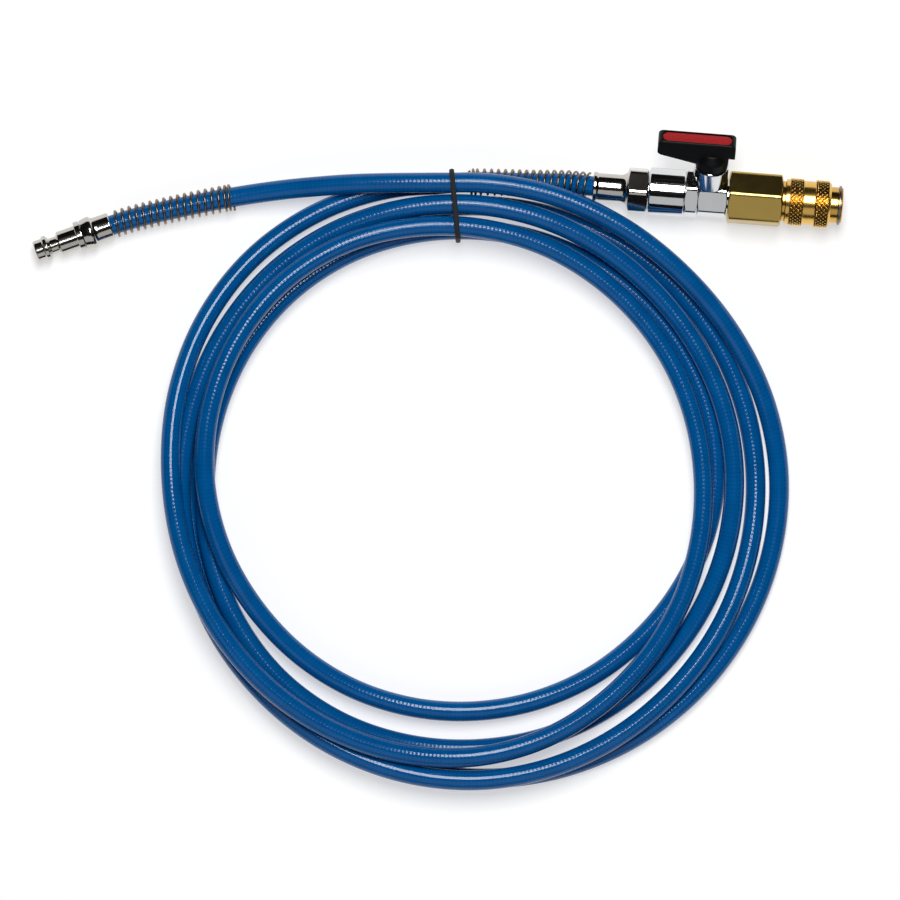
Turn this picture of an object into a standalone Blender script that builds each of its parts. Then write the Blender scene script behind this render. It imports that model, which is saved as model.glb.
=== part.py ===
"""Coiled gas hose with a quick plug at one end, a lever ball valve and a quick coupling at the other.

The valve and coupling lie along +X, +Z is up, and the hose lies coiled on the floor beside them.
Sizes are in metres, written as millimetres times MM.
"""

import math

import bmesh
import bpy
import numpy as np
from mathutils import Matrix, Vector

MM = 0.001
DEGREE = math.pi / 180

# Clearances
GAP = 0.3 * MM
RUN = 0.35 * MM
HOSE_GAP = 0.5 * MM

# Faces round a turned piece
ROUND = 20
SMALL_ROUND = 14

# Hose and its kink springs
HOSE_DIAMETER = 10.0 * MM
HOSE_WALL = 1.75 * MM
LEAD_STEP = 12.0 * MM
SPRING_WIRE = 1.2 * MM
SPRING_RADIUS = 6.25 * MM
SPRING_LENGTH = 60.0 * MM
SPRING_CURLS = 18
SPRING_CLOSE_CURLS = 2
SPRING_CLOSE_PITCH = 2.0 * MM
SPRING_CURL_POINTS = 9

# Hose coil, five turns clockwise seen from above, in stations an eighth of a turn apart
LOOP_POINTS = 24
ROUTE_TURN = 4.46 * DEGREE
COIL_RADII = (
    (145.5, 141.8, 148.0, 149.5, 148.5, 146.0, 143.5, 140.0),
    (135.0, 135.4, 136.8, 142.0, 149.5, 151.3, 149.5, 146.0),
    (136.0, 127.0, 126.5, 129.5, 135.0, 141.3, 137.0, 133.3),
    (124.6, 120.5, 118.5, 114.8, 118.5, 129.3, 140.5, 141.0),
    (126.3, 114.3, 111.8, 121.5, 137.8, 146.3, 150.5, 155.0),
)
COIL_END_RADIUS = 145.0
COIL_HEIGHTS = (
    (19.8, 17.5, 5.3, 5.3, 5.3, 5.3, 5.3, 5.3),
    (6.9, 5.3, 5.3, 13.0, 15.8, 14.3, 14.0, 13.8),
    (17.4, 13.7, 12.0, 5.3, 5.3, 14.0, 13.5, 10.5),
    (6.9, 5.3, 5.3, 5.3, 5.3, 9.0, 23.5, 22.0),
    (17.4, 13.8, 13.2, 13.5, 15.8, 23.4, 24.0, 8.5),
)
COIL_END_HEIGHT = 6.9
SETTLE_SWEEPS = 800
SETTLE_RATE = 0.12
SETTLE_MARGIN = 0.15
LEAD_SWEEPS = 120
LEAD_RATE = 0.25
LEAD_SMOOTHING = 0.2
LEAD_POINT_STEP = 3.0 * MM
LEAD_SAMPLES = 240
HELD_MARGIN = 3.0 * MM
JOINT_LENGTH = 80.0 * MM
JOINT_EASE = 24.0 * MM
GAUGE_STEP = 4.0 * MM
GAUGE_SKIP = 300.0 * MM

# Leads from the coil to the plug and to the valve: right, up the picture and height, in millimetres
PLUG_LEAD = (
    (-170.5, 130.4, 8.4),
    (-123.0, 140.4, 9.2),
    (-91.5, 144.7, 13.0),
    (-60.0, 146.9, 17.6),
    (-39.0, 147.2, 19.2),
    (-13.5, 146.6, 20.0),
)
VALVE_LEAD = (
    (30.0, 146.3, 7.9),
    (41.0, 146.2, 10.6),
    (49.0, 145.9, 13.3),
)
LIP_IN_ROUTE = (56.15, 145.3)
PLUG_TIP_IN_ROUTE = (-221.55, 112.6)
PLUG_RISE = 19.4 * DEGREE

# Band round the bundle
BAND_BEARING = -5.3 * DEGREE
BAND_WIDTH = 2.5 * MM
BAND_THICKNESS = 1.0 * MM
BAND_CLEARANCE = 0.45 * MM
BAND_LEAST_LEG = 0.8 * MM

# Lengths along the valve and coupling, from the hose side
NUT_LIP_LENGTH = 2.7 * MM
NUT_NECK_LENGTH = 10.4 * MM
NUT_FLARE_LENGTH = 4.0 * MM
NUT_HEX_LENGTH = 10.6 * MM
HOSE_IN_HEX = 2.4 * MM
CONNECTOR_ROUND_LENGTH = 18.4 * MM
CONNECTOR_HEX_LENGTH = 6.0 * MM
BODY_LENGTH = 14.7 * MM
BODY_SHOULDER = 0.7 * MM
COUPLING_HEX_LENGTH = 26.6 * MM
COUPLING_NECK_LENGTH = 2.0 * MM
FRONT_BODY_START = 15.0 * MM
SLEEVE_LENGTH = 22.4 * MM
NOSE_LENGTH = 6.0 * MM

# Widths along the valve and coupling
NUT_LIP_RADIUS = 7.4 * MM
NUT_NECK_RADIUS = 6.85 * MM
NUT_FLATS = 20.5 * MM
NUT_THREAD_RADIUS = 8.6 * MM
NUT_ROLL = -9.0 * DEGREE
CONNECTOR_RADIUS = 11.8 * MM
CONNECTOR_FLATS = 22.0 * MM
SPIGOT_RADIUS = 5.0 * MM
SPIGOT_LENGTH = 9.0 * MM
TURNED_EDGE = 0.6 * MM
BODY_FLATS = 20.5 * MM
BODY_ROLL = 12.0 * DEGREE
BODY_THREAD_RADIUS = 7.5 * MM
BODY_THREAD_LENGTH = 9.5 * MM
COUPLING_FLATS = 24.5 * MM
COUPLING_ROLL = 6.5 * DEGREE
HEX_EDGE = 0.5 * MM
BARB_RADIUS = 2.0 * MM
BARB_RIDGE = 0.25 * MM
BARB_BORE = 1.3 * MM
BARB_LENGTH = 15.0 * MM

# Ball valve
BALL_RADIUS = 5.2 * MM
PORT_RADIUS = 3.0 * MM
SEAT_RADIUS = 6.6 * MM
SEAT_LENGTH = 4.4 * MM
SEAT_FACE = 2.9 * MM
SEAT_LIP = 0.8 * MM
SEAT_MOUTH = 1.8 * MM
STEM_FROM_SEAM = 5.55 * MM
STEM_ELEVATION = 48.0 * DEGREE
STEM_RADIUS = 3.2 * MM
STEM_SHOULDER_RADIUS = 4.2 * MM
STEM_TANG = 1.7 * MM
STEM_TANG_HALF = 2.6 * MM
STEM_FLAT = 2.3 * MM
STEM_FLAT_START = 1.5 * MM
STEM_GROOVE_RADIUS = 2.2 * MM
STEM_GROOVE_START = 2.0 * MM
STEM_GROOVE_LENGTH = 1.7 * MM
BOSS_RADIUS = 8.7 * MM
BOSS_HEIGHT = 23.1 * MM
O_RING_RADIUS = 0.4 * MM
SLOT_DEPTH = 1.6 * MM
SHOULDER_THICKNESS = 1.6 * MM
WASHER_THICKNESS = 0.8 * MM

# Lever
LEVER_WIDTH = 9.0 * MM
LEVER_TOP = 40.4 * MM
LEVER_FRONT = 27.5 * MM
LEVER_BACK = 11.1 * MM
LEVER_END_HEIGHT = 9.6 * MM
LEVER_HUB_RADIUS = 8.2 * MM
LEVER_UNDERSIDE = 25.7 * MM
LEVER_EDGE = 1.2 * MM
LEVER_CORNER = 2.5 * MM
HUB_WALL = 3.0 * MM
HUB_CONE = 4.0 * MM
STRIP_WIDTH = 6.2 * MM
STRIP_END_MARGIN = 2.2 * MM
STRIP_DEPTH = 1.4 * MM
STRIP_SINK = 0.2 * MM
SCREW_HEAD_RADIUS = 2.6 * MM
SCREW_RADIUS = 1.2 * MM
SCREW_HEAD_HEIGHT = 1.8 * MM
SCREW_LENGTH = 6.0 * MM
HEAD_SEAT = 2.0 * MM

# Quick coupling
BARREL_RADIUS = 9.0 * MM
SOCKET_RADIUS = 6.6 * MM
SOCKET_DEPTH = 16.0 * MM
TIP_BORE_RADIUS = 5.8 * MM
TIP_BORE_DEPTH = 6.0 * MM
CHAMBER_RADIUS = 6.2 * MM
CHAMBER_START = 4.0 * MM
INLET_RADIUS = 3.4 * MM
SEAT_HOLE_RADIUS = 4.2 * MM
SEAT_WALL = 1.4 * MM
SLEEVE_RADIUS = 11.7 * MM
SLEEVE_WAIST_RADIUS = 10.9 * MM
SLEEVE_KNURL_LENGTH = 6.5 * MM
SLEEVE_TRAVEL = 3.6 * MM
RING_RADIUS = 9.8 * MM
RING_LENGTH = 1.2 * MM
RING_GROOVE = 0.7 * MM
LOCK_BALL_RADIUS = 1.5 * MM
LOCK_BALL_CENTRE = 8.35 * MM
LOCK_BALL_FROM_NOSE = 8.3 * MM
LOCK_BALL_COUNT = 4
FLANGE_RADIUS = 10.1 * MM
SEAL_LENGTH = 1.2 * MM
PLUG_SEAL_WIRE = 0.55 * MM
PLUG_SEAL_FROM_SOCKET = 2.4 * MM
SLEEVE_SPRING_WIRE = 0.7 * MM
SLEEVE_SPRING_LENGTH = 8.3 * MM
POPPET_SPRING_RADIUS = 4.2 * MM
POPPET_SPRING_WIRE = 0.8 * MM
COIL_SPRING_POINTS = 14

# Plug, from its tip
PLUG_TIP_RADIUS = 5.5 * MM
PLUG_RIDGE_RADIUS = 6.4 * MM
PLUG_GROOVE_RADIUS = 4.25 * MM
PLUG_BODY_RADIUS = 6.1 * MM
PLUG_COLLAR_RADIUS = 7.8 * MM
PLUG_NUT_RADIUS = 8.3 * MM
PLUG_NECK_RADIUS = 6.8 * MM
PLUG_THREAD_RADIUS = 5.9 * MM
PLUG_TIP_LENGTH = 4.4 * MM
PLUG_RIDGE_LENGTH = 2.3 * MM
PLUG_GROOVE_START = 8.2 * MM
PLUG_GROOVE_LENGTH = 3.6 * MM
PLUG_COLLAR_START = 22.1 * MM
PLUG_COLLAR_LENGTH = 2.8 * MM
PLUG_THREAD_LENGTH = 8.5 * MM
PLUG_NUT_LENGTH = 15.2 * MM
PLUG_NUT_BULGE = 4.8 * MM
PLUG_NUT_TAPER = 8.0 * MM
PLUG_BORE = 2.4 * MM

# Stations along the valve and coupling
LINE_LENGTH = (NUT_LIP_LENGTH + NUT_NECK_LENGTH + NUT_FLARE_LENGTH + NUT_HEX_LENGTH
               + CONNECTOR_ROUND_LENGTH + CONNECTOR_HEX_LENGTH + BODY_LENGTH + BODY_SHOULDER
               + COUPLING_HEX_LENGTH + COUPLING_NECK_LENGTH + SLEEVE_LENGTH + NOSE_LENGTH)
LIP_X = -LINE_LENGTH / 2
NECK_X = LIP_X + NUT_LIP_LENGTH
FLARE_X = NECK_X + NUT_NECK_LENGTH
NUT_X = FLARE_X + NUT_FLARE_LENGTH
CONNECTOR_X = NUT_X + NUT_HEX_LENGTH
CONNECTOR_HEX_X = CONNECTOR_X + CONNECTOR_ROUND_LENGTH
SEAM_X = CONNECTOR_HEX_X + CONNECTOR_HEX_LENGTH
BODY_END_X = SEAM_X + BODY_LENGTH
COUPLING_X = BODY_END_X + BODY_SHOULDER
COUPLING_NECK_X = COUPLING_X + COUPLING_HEX_LENGTH
SLEEVE_X = COUPLING_NECK_X + COUPLING_NECK_LENGTH
SLEEVE_END_X = SLEEVE_X + SLEEVE_LENGTH
NOSE_X = SLEEVE_END_X + NOSE_LENGTH
STEM_X = SEAM_X + STEM_FROM_SEAM
SOCKET_END_X = NOSE_X - SOCKET_DEPTH
SEAT_X = SOCKET_END_X - TIP_BORE_DEPTH
LOCK_BALL_X = NOSE_X - LOCK_BALL_FROM_NOSE
RING_X = SLEEVE_END_X + SLEEVE_TRAVEL + GAP
HOSE_END_X = NUT_X + HOSE_IN_HEX
FLANGE_X = HOSE_END_X + GAP
FRONT_BODY_X = COUPLING_X + FRONT_BODY_START
PLUG_HOSE_START = PLUG_COLLAR_START + PLUG_COLLAR_LENGTH + PLUG_THREAD_LENGTH
SEAL_X = FRONT_BODY_X - GAP - SEAL_LENGTH
PLUG_SEAL_X = SOCKET_END_X - PLUG_SEAL_FROM_SOCKET
SLEEVE_STEP_X = SLEEVE_X + SLEEVE_SPRING_LENGTH

# Length of hose inside each nut
NUT_COVER = {
    "plug_kink_spring": PLUG_COLLAR_START + PLUG_COLLAR_LENGTH + PLUG_NUT_LENGTH - PLUG_HOSE_START,
    "valve_kink_spring": HOSE_END_X - LIP_X,
}

# Derived widths and stations along the stem
PLUG_SEAL_MIDDLE = TIP_BORE_RADIUS + GAP
SLEEVE_BORE = BARREL_RADIUS + RUN
SLEEVE_SPRING_ROOM = BARREL_RADIUS + 2 * RUN + SLEEVE_SPRING_WIRE
SHOULDER_LOW = SEAT_RADIUS + 2 * GAP
SHOULDER_HIGH = SHOULDER_LOW + SHOULDER_THICKNESS
WASHER_HIGH = SHOULDER_HIGH + GAP + WASHER_THICKNESS
SHOULDER_TOP = WASHER_HIGH + GAP

# The axis lies one hexagon corner above the floor, and the object is centred across its width
HOSE_RADIUS = HOSE_DIAMETER / 2
COUPLING_CORNER = COUPLING_FLATS / math.sqrt(3)
AXIS_Z = COUPLING_CORNER * math.cos(COUPLING_ROLL)
SIDE_LOW = COUPLING_CORNER * math.sin(2 * math.pi / 3 - COUPLING_ROLL)
EDGE_LOSS = LEVER_EDGE * (1 - math.sqrt(0.5))
SIDE_HIGH = ((LEVER_TOP - EDGE_LOSS) * math.cos(STEM_ELEVATION)
             + (LEVER_WIDTH / 2 - EDGE_LOSS) * math.sin(STEM_ELEVATION))
AXIS_Y = (SIDE_LOW - SIDE_HIGH) / 2

COLLECTION = "coiled_gas_hose"
CUTTERS = "cutters"


def clear_scene():
    """Remove every object and the collections of an earlier run."""
    for item in list(bpy.data.objects):
        bpy.data.objects.remove(item, do_unlink=True)
    for group in list(bpy.data.collections):
        bpy.data.collections.remove(group)
    for name in (COLLECTION, CUTTERS):
        group = bpy.data.collections.new(name)
        bpy.context.scene.collection.children.link(group)


def finish_material(name, colour, roughness, metallic):
    """Make a plain surface of one colour."""
    finish = bpy.data.materials.new(name)
    finish.use_nodes = True
    surface = finish.node_tree.nodes["Principled BSDF"]
    surface.inputs["Base Color"].default_value = (*colour, 1.0)
    surface.inputs["Roughness"].default_value = roughness
    surface.inputs["Metallic"].default_value = metallic
    return finish


def make_finishes():
    """Return the materials by name."""
    return {
        "blue_hose": finish_material("blue_hose", (0.0, 0.09, 0.38), 0.3, 0.0),
        "nickel": finish_material("nickel", (0.66, 0.64, 0.60), 0.2, 1.0),
        "chrome": finish_material("chrome", (0.72, 0.73, 0.74), 0.12, 1.0),
        "brass": finish_material("brass", (0.66, 0.48, 0.18), 0.25, 1.0),
        "steel": finish_material("steel", (0.55, 0.56, 0.57), 0.25, 1.0),
        "spring_steel": finish_material("spring_steel", (0.22, 0.17, 0.12), 0.35, 1.0),
        "black_plastic": finish_material("black_plastic", (0.012, 0.012, 0.013), 0.4, 0.0),
        "red_strip": finish_material("red_strip", (0.5, 0.02, 0.03), 0.45, 0.0),
        "black_rubber": finish_material("black_rubber", (0.015, 0.015, 0.015), 0.6, 0.0),
        "white_seal": finish_material("white_seal", (0.85, 0.85, 0.83), 0.5, 0.0),
    }


def make_frame(name, matrix):
    """Make an empty that carries pieces along one axis."""
    frame = bpy.data.objects.new(name, None)
    frame.matrix_world = matrix
    bpy.data.collections[COLLECTION].objects.link(frame)
    return frame


def add_object(name, mesh, frame, finish=None):
    """Put a mesh into the part, or among the cutters when it has no finish."""
    item = bpy.data.objects.new(name, mesh)
    item.parent = frame
    if finish is None:
        bpy.data.collections[CUTTERS].objects.link(item)
        item.hide_render = True
        item.display_type = "WIRE"
    else:
        bpy.data.collections[COLLECTION].objects.link(item)
        mesh.materials.append(finish)
    return item


def turned(name, outer, inner, frame, finish=None, steps=ROUND):
    """Turn an outline of radius and station round the frame's Z axis.

    The outer side runs from the highest station down, and the inner side back up. With no inner
    side the piece is solid to its axis.
    """
    if inner:
        points = list(outer) + list(inner)
    else:
        points = [(0.0, outer[0][1])] + list(outer) + [(0.0, outer[-1][1])]
    edges = [(index, index + 1) for index in range(len(points) - 1)]
    if inner:
        edges.append((len(points) - 1, 0))
    mesh = bpy.data.meshes.new(name)
    mesh.from_pydata([(radius, 0.0, station) for radius, station in points], edges, [])
    item = add_object(name, mesh, frame, finish)
    screw = item.modifiers.new("turn", "SCREW")
    screw.axis = "Z"
    screw.steps = steps
    screw.render_steps = steps
    screw.use_merge_vertices = True
    screw.merge_threshold = 0.00001
    screw.use_smooth_shade = False
    return item


def rod(name, radius, low, high, frame, finish=None, steps=ROUND):
    """A plain round bar between two stations."""
    return turned(name, [(radius, high), (radius, low)], [], frame, finish, steps)


def hexagon(name, flats, low, high, roll, frame, finish=None, edge=HEX_EDGE):
    """A hexagonal bar with one corner turned by roll from straight up."""
    mesh = bpy.data.meshes.new(name)
    shape = bmesh.new()
    corner = flats / math.sqrt(3)
    bmesh.ops.create_cone(shape, cap_ends=True, segments=6, radius1=corner, radius2=corner,
                          depth=high - low)
    turn = Matrix.Rotation(math.pi / 2 - roll, 4, "Z")
    bmesh.ops.transform(shape, matrix=Matrix.Translation((0, 0, (low + high) / 2)) @ turn,
                        verts=shape.verts)
    shape.to_mesh(mesh)
    shape.free()
    item = add_object(name, mesh, frame, finish)
    bevel = item.modifiers.new("edges", "BEVEL")
    bevel.width = edge
    bevel.segments = 1
    bevel.limit_method = "ANGLE"
    bevel.angle_limit = 75 * DEGREE
    return item


def box(name, low, high, frame, finish=None):
    """A box between two corners."""
    mesh = bpy.data.meshes.new(name)
    shape = bmesh.new()
    bmesh.ops.create_cube(shape, size=1.0)
    size = [high[axis] - low[axis] for axis in range(3)]
    middle = [(high[axis] + low[axis]) / 2 for axis in range(3)]
    bmesh.ops.scale(shape, vec=size, verts=shape.verts)
    bmesh.ops.translate(shape, vec=middle, verts=shape.verts)
    shape.to_mesh(mesh)
    shape.free()
    return add_object(name, mesh, frame, finish)


def combine(item, other, operation):
    """Join another shape to a piece or cut it away."""
    step = item.modifiers.new(other.name, "BOOLEAN")
    step.operation = operation
    step.object = other
    step.solver = "EXACT"


def cut(item, *tools):
    """Cut each tool away from a piece."""
    for tool in tools:
        combine(item, tool, "DIFFERENCE")


def join(item, *tools):
    """Join each tool to a piece."""
    for tool in tools:
        combine(item, tool, "UNION")


def arc(radius_from, station_from, radius_to, station_to, count, hollow):
    """Points of a quarter ellipse between two corners of an outline, without the first."""
    points = []
    for index in range(1, count + 1):
        angle = math.pi / 2 * index / count
        across = 1 - math.cos(angle) if hollow else math.sin(angle)
        along = math.sin(angle) if hollow else 1 - math.cos(angle)
        points.append((radius_from + (radius_to - radius_from) * across,
                       station_from + (station_to - station_from) * along))
    return points


# Valve side of the hose

def build_clamp_nut(line, finishes):
    """Nut that clamps the hose on its barb: a round neck flaring into a hexagon."""
    shoulder = NUT_FLATS / 2 - HEX_EDGE
    outer = [(shoulder, NUT_X + HEX_EDGE), (shoulder, NUT_X)]
    outer += arc(shoulder, NUT_X, NUT_NECK_RADIUS, FLARE_X, 4, False)
    outer += [(NUT_NECK_RADIUS, NECK_X), (NUT_LIP_RADIUS, NECK_X - NUT_LIP_LENGTH * 0.4),
              (NUT_LIP_RADIUS, LIP_X)]
    nut = hexagon("valve_clamp_nut", NUT_FLATS, NUT_X, CONNECTOR_X - GAP, NUT_ROLL, line,
                  finishes["nickel"])
    neck = turned("clamp_nut_neck", outer, [], line)
    hose_hole = rod("clamp_nut_hose_hole", HOSE_RADIUS + GAP, LIP_X - GAP, CONNECTOR_X, line)
    thread = rod("clamp_nut_thread", NUT_THREAD_RADIUS, FLANGE_X - GAP, CONNECTOR_X, line)
    join(nut, neck)
    cut(nut, hose_hole, thread)


def build_hose_barb(line, finishes):
    """Barbed insert: ridges inside the hose, a flange in the nut and a spigot in the valve."""
    flange = NUT_THREAD_RADIUS - GAP
    flange_end = CONNECTOR_X - 1.5 * MM
    spigot_end = CONNECTOR_X + SPIGOT_LENGTH
    outer = [(SPIGOT_RADIUS, spigot_end), (SPIGOT_RADIUS, flange_end), (flange, flange_end),
             (flange, FLANGE_X), (BARB_RADIUS, FLANGE_X)]
    ridge_step = 3.0 * MM
    for index in range(3):
        station = HOSE_END_X - 4.0 * MM - index * ridge_step
        outer += [(BARB_RADIUS, station), (BARB_RADIUS + BARB_RIDGE, station),
                  (BARB_RADIUS, station - ridge_step * 0.8)]
    tip = HOSE_END_X - BARB_LENGTH
    outer += [(BARB_RADIUS, tip)]
    inner = [(BARB_BORE, tip), (BARB_BORE, spigot_end)]
    turned("hose_barb", outer, inner, line, finishes["nickel"], SMALL_ROUND)
    turned("barb_seal",
           [(flange, CONNECTOR_X - 2 * GAP), (flange, flange_end + GAP)],
           [(SPIGOT_RADIUS + GAP, flange_end + GAP), (SPIGOT_RADIUS + GAP, CONNECTOR_X - 2 * GAP)],
           line, finishes["black_rubber"], SMALL_ROUND)


def build_end_connector(line, finishes):
    """Chromed end of the valve: a round barrel with a hexagon at the seam."""
    chamfer = TURNED_EDGE
    connector = turned(
        "valve_end_connector",
        [(CONNECTOR_RADIUS - chamfer, CONNECTOR_HEX_X + chamfer),
         (CONNECTOR_RADIUS, CONNECTOR_HEX_X),
         (CONNECTOR_RADIUS, CONNECTOR_X + chamfer),
         (CONNECTOR_RADIUS - chamfer, CONNECTOR_X)], [], line, finishes["chrome"])
    collar = hexagon("connector_hexagon", CONNECTOR_FLATS, CONNECTOR_HEX_X - chamfer, SEAM_X,
                     BODY_ROLL, line)
    spigot_hole = rod("connector_spigot_hole", SPIGOT_RADIUS + GAP, CONNECTOR_X - GAP,
                      CONNECTOR_X + SPIGOT_LENGTH + GAP, line)
    port = rod("connector_port", PORT_RADIUS, CONNECTOR_X, SEAM_X + GAP, line)
    seat_pocket = rod("connector_seat_pocket", SEAT_RADIUS + GAP,
                      STEM_X - SEAT_FACE - SEAT_LENGTH - GAP, SEAM_X + GAP, line)
    join(connector, collar)
    cut(connector, spigot_hole, port, seat_pocket)


def build_valve_body(line, stem, finishes):
    """Hexagonal valve body with its stem boss, ball chamber and threaded end."""
    body = hexagon("valve_body", BODY_FLATS, SEAM_X + GAP, BODY_END_X, BODY_ROLL, line,
                   finishes["chrome"])
    boss_base = CONNECTOR_FLATS / math.sqrt(3) + GAP
    chamfer = TURNED_EDGE
    boss = turned("body_boss", [(BOSS_RADIUS - chamfer, BOSS_HEIGHT),
                                (BOSS_RADIUS, BOSS_HEIGHT - chamfer),
                                (BOSS_RADIUS, STEM_SHOULDER_RADIUS)], [], stem)
    undercut = box("body_boss_undercut", (-2 * BOSS_RADIUS, -2 * BOSS_RADIUS, 0.0),
                   (2 * GAP - STEM_FROM_SEAM, 2 * BOSS_RADIUS, boss_base), stem)
    cut(boss, undercut)
    end = turned("body_threaded_end",
                 [(BODY_THREAD_RADIUS, BODY_END_X + BODY_THREAD_LENGTH),
                  (BODY_THREAD_RADIUS, BODY_END_X - GAP)], [], line)
    chamber = rod("body_chamber", SEAT_RADIUS + GAP, SEAM_X,
                  STEM_X + SEAT_FACE + SEAT_LENGTH + GAP, line)
    port = rod("body_port", PORT_RADIUS, STEM_X, BODY_END_X + BODY_THREAD_LENGTH + GAP, line)
    shoulder_hole = rod("body_shoulder_hole", STEM_SHOULDER_RADIUS + RUN, 0.0, SHOULDER_TOP, stem)
    stem_hole = rod("body_stem_hole", STEM_RADIUS + RUN, 0.0, BOSS_HEIGHT + GAP, stem)
    join(body, boss, end)
    cut(body, chamber, port, shoulder_hole, stem_hole)


def build_ball_and_seats(line, stem, finishes):
    """Bored ball with its stem slot, between two conical seats."""
    mesh = bpy.data.meshes.new("valve_ball")
    shape = bmesh.new()
    bmesh.ops.create_uvsphere(shape, u_segments=SMALL_ROUND, v_segments=10, radius=BALL_RADIUS)
    shape.to_mesh(mesh)
    shape.free()
    ball = add_object("valve_ball", mesh, stem, finishes["steel"])
    port = rod("ball_port", PORT_RADIUS - GAP, STEM_X - 2 * BALL_RADIUS, STEM_X + 2 * BALL_RADIUS,
               line, None, SMALL_ROUND)
    slot_half = STEM_TANG / 2 + GAP
    slot = box("ball_slot", (-2 * BALL_RADIUS, -slot_half, BALL_RADIUS - SLOT_DEPTH),
               (2 * BALL_RADIUS, slot_half, 2 * BALL_RADIUS), stem)
    cut(ball, port, slot)
    mouth = SEAT_FACE + SEAT_MOUTH
    back = SEAT_FACE + SEAT_LENGTH
    turned("ball_seat_hose_side",
           [(SEAT_RADIUS, STEM_X - SEAT_FACE), (SEAT_RADIUS, STEM_X - back)],
           [(PORT_RADIUS, STEM_X - back), (PORT_RADIUS, STEM_X - mouth),
            (SEAT_RADIUS - SEAT_LIP, STEM_X - SEAT_FACE)], line, finishes["white_seal"], SMALL_ROUND)
    turned("ball_seat_coupling_side",
           [(SEAT_RADIUS, STEM_X + back), (SEAT_RADIUS, STEM_X + SEAT_FACE)],
           [(SEAT_RADIUS - SEAT_LIP, STEM_X + SEAT_FACE), (PORT_RADIUS, STEM_X + mouth),
            (PORT_RADIUS, STEM_X + back)], line, finishes["white_seal"], SMALL_ROUND)


def build_stem(stem, finishes):
    """Stem with a tang in the ball, a thrust shoulder, a seal groove and a screw hole on top."""
    groove_low = SHOULDER_TOP + STEM_GROOVE_START
    groove_high = groove_low + STEM_GROOVE_LENGTH
    groove = STEM_GROOVE_RADIUS
    top = LEVER_TOP - LEVER_END_HEIGHT
    piece = turned("valve_stem",
                   [(STEM_RADIUS, top), (STEM_RADIUS, groove_high), (groove, groove_high),
                    (groove, groove_low), (STEM_RADIUS, groove_low), (STEM_RADIUS, SHOULDER_HIGH),
                    (STEM_SHOULDER_RADIUS, SHOULDER_HIGH), (STEM_SHOULDER_RADIUS, SHOULDER_LOW)],
                   [], stem, finishes["steel"], SMALL_ROUND)
    tang_bottom = BALL_RADIUS - SLOT_DEPTH + GAP
    tang = box("stem_tang", (-STEM_TANG_HALF, -STEM_TANG / 2, tang_bottom),
               (STEM_TANG_HALF, STEM_TANG / 2, SHOULDER_LOW + GAP), stem)
    flat_low = BOSS_HEIGHT + STEM_FLAT_START
    wide = 2 * STEM_RADIUS
    flats = [box(f"stem_flat_{side}", (-wide, low, flat_low), (wide, high, top + GAP), stem)
             for side, low, high in (("near", -wide, -STEM_FLAT), ("far", STEM_FLAT, wide))]
    hole = rod("stem_screw_hole", SCREW_RADIUS + GAP, top - SCREW_LENGTH - HEAD_SEAT, top + GAP, stem, None,
               SMALL_ROUND)
    join(piece, tang)
    cut(piece, hole, *flats)
    turned("stem_washer",
           [(STEM_SHOULDER_RADIUS, WASHER_HIGH), (STEM_SHOULDER_RADIUS, SHOULDER_HIGH + GAP)],
           [(STEM_RADIUS + GAP, SHOULDER_HIGH + GAP), (STEM_RADIUS + GAP, WASHER_HIGH)],
           stem, finishes["white_seal"], SMALL_ROUND)
    ring_middle = groove + GAP + O_RING_RADIUS
    ring("stem_o_ring", ring_middle, O_RING_RADIUS, (groove_low + groove_high) / 2, stem,
         finishes["black_rubber"])


def ring(name, middle_radius, wire_radius, station, frame, finish):
    """A round seal ring: an eight-sided wire turned round the axis."""
    sides = 8
    outline = []
    for index in range(sides):
        angle = math.pi / 2 - 2 * math.pi * index / sides
        outline.append((middle_radius + wire_radius * math.cos(angle),
                        station + wire_radius * math.sin(angle)))
    half = sides // 2 + 1
    return turned(name, outline[:half], outline[half:], frame, finish, SMALL_ROUND)


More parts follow.
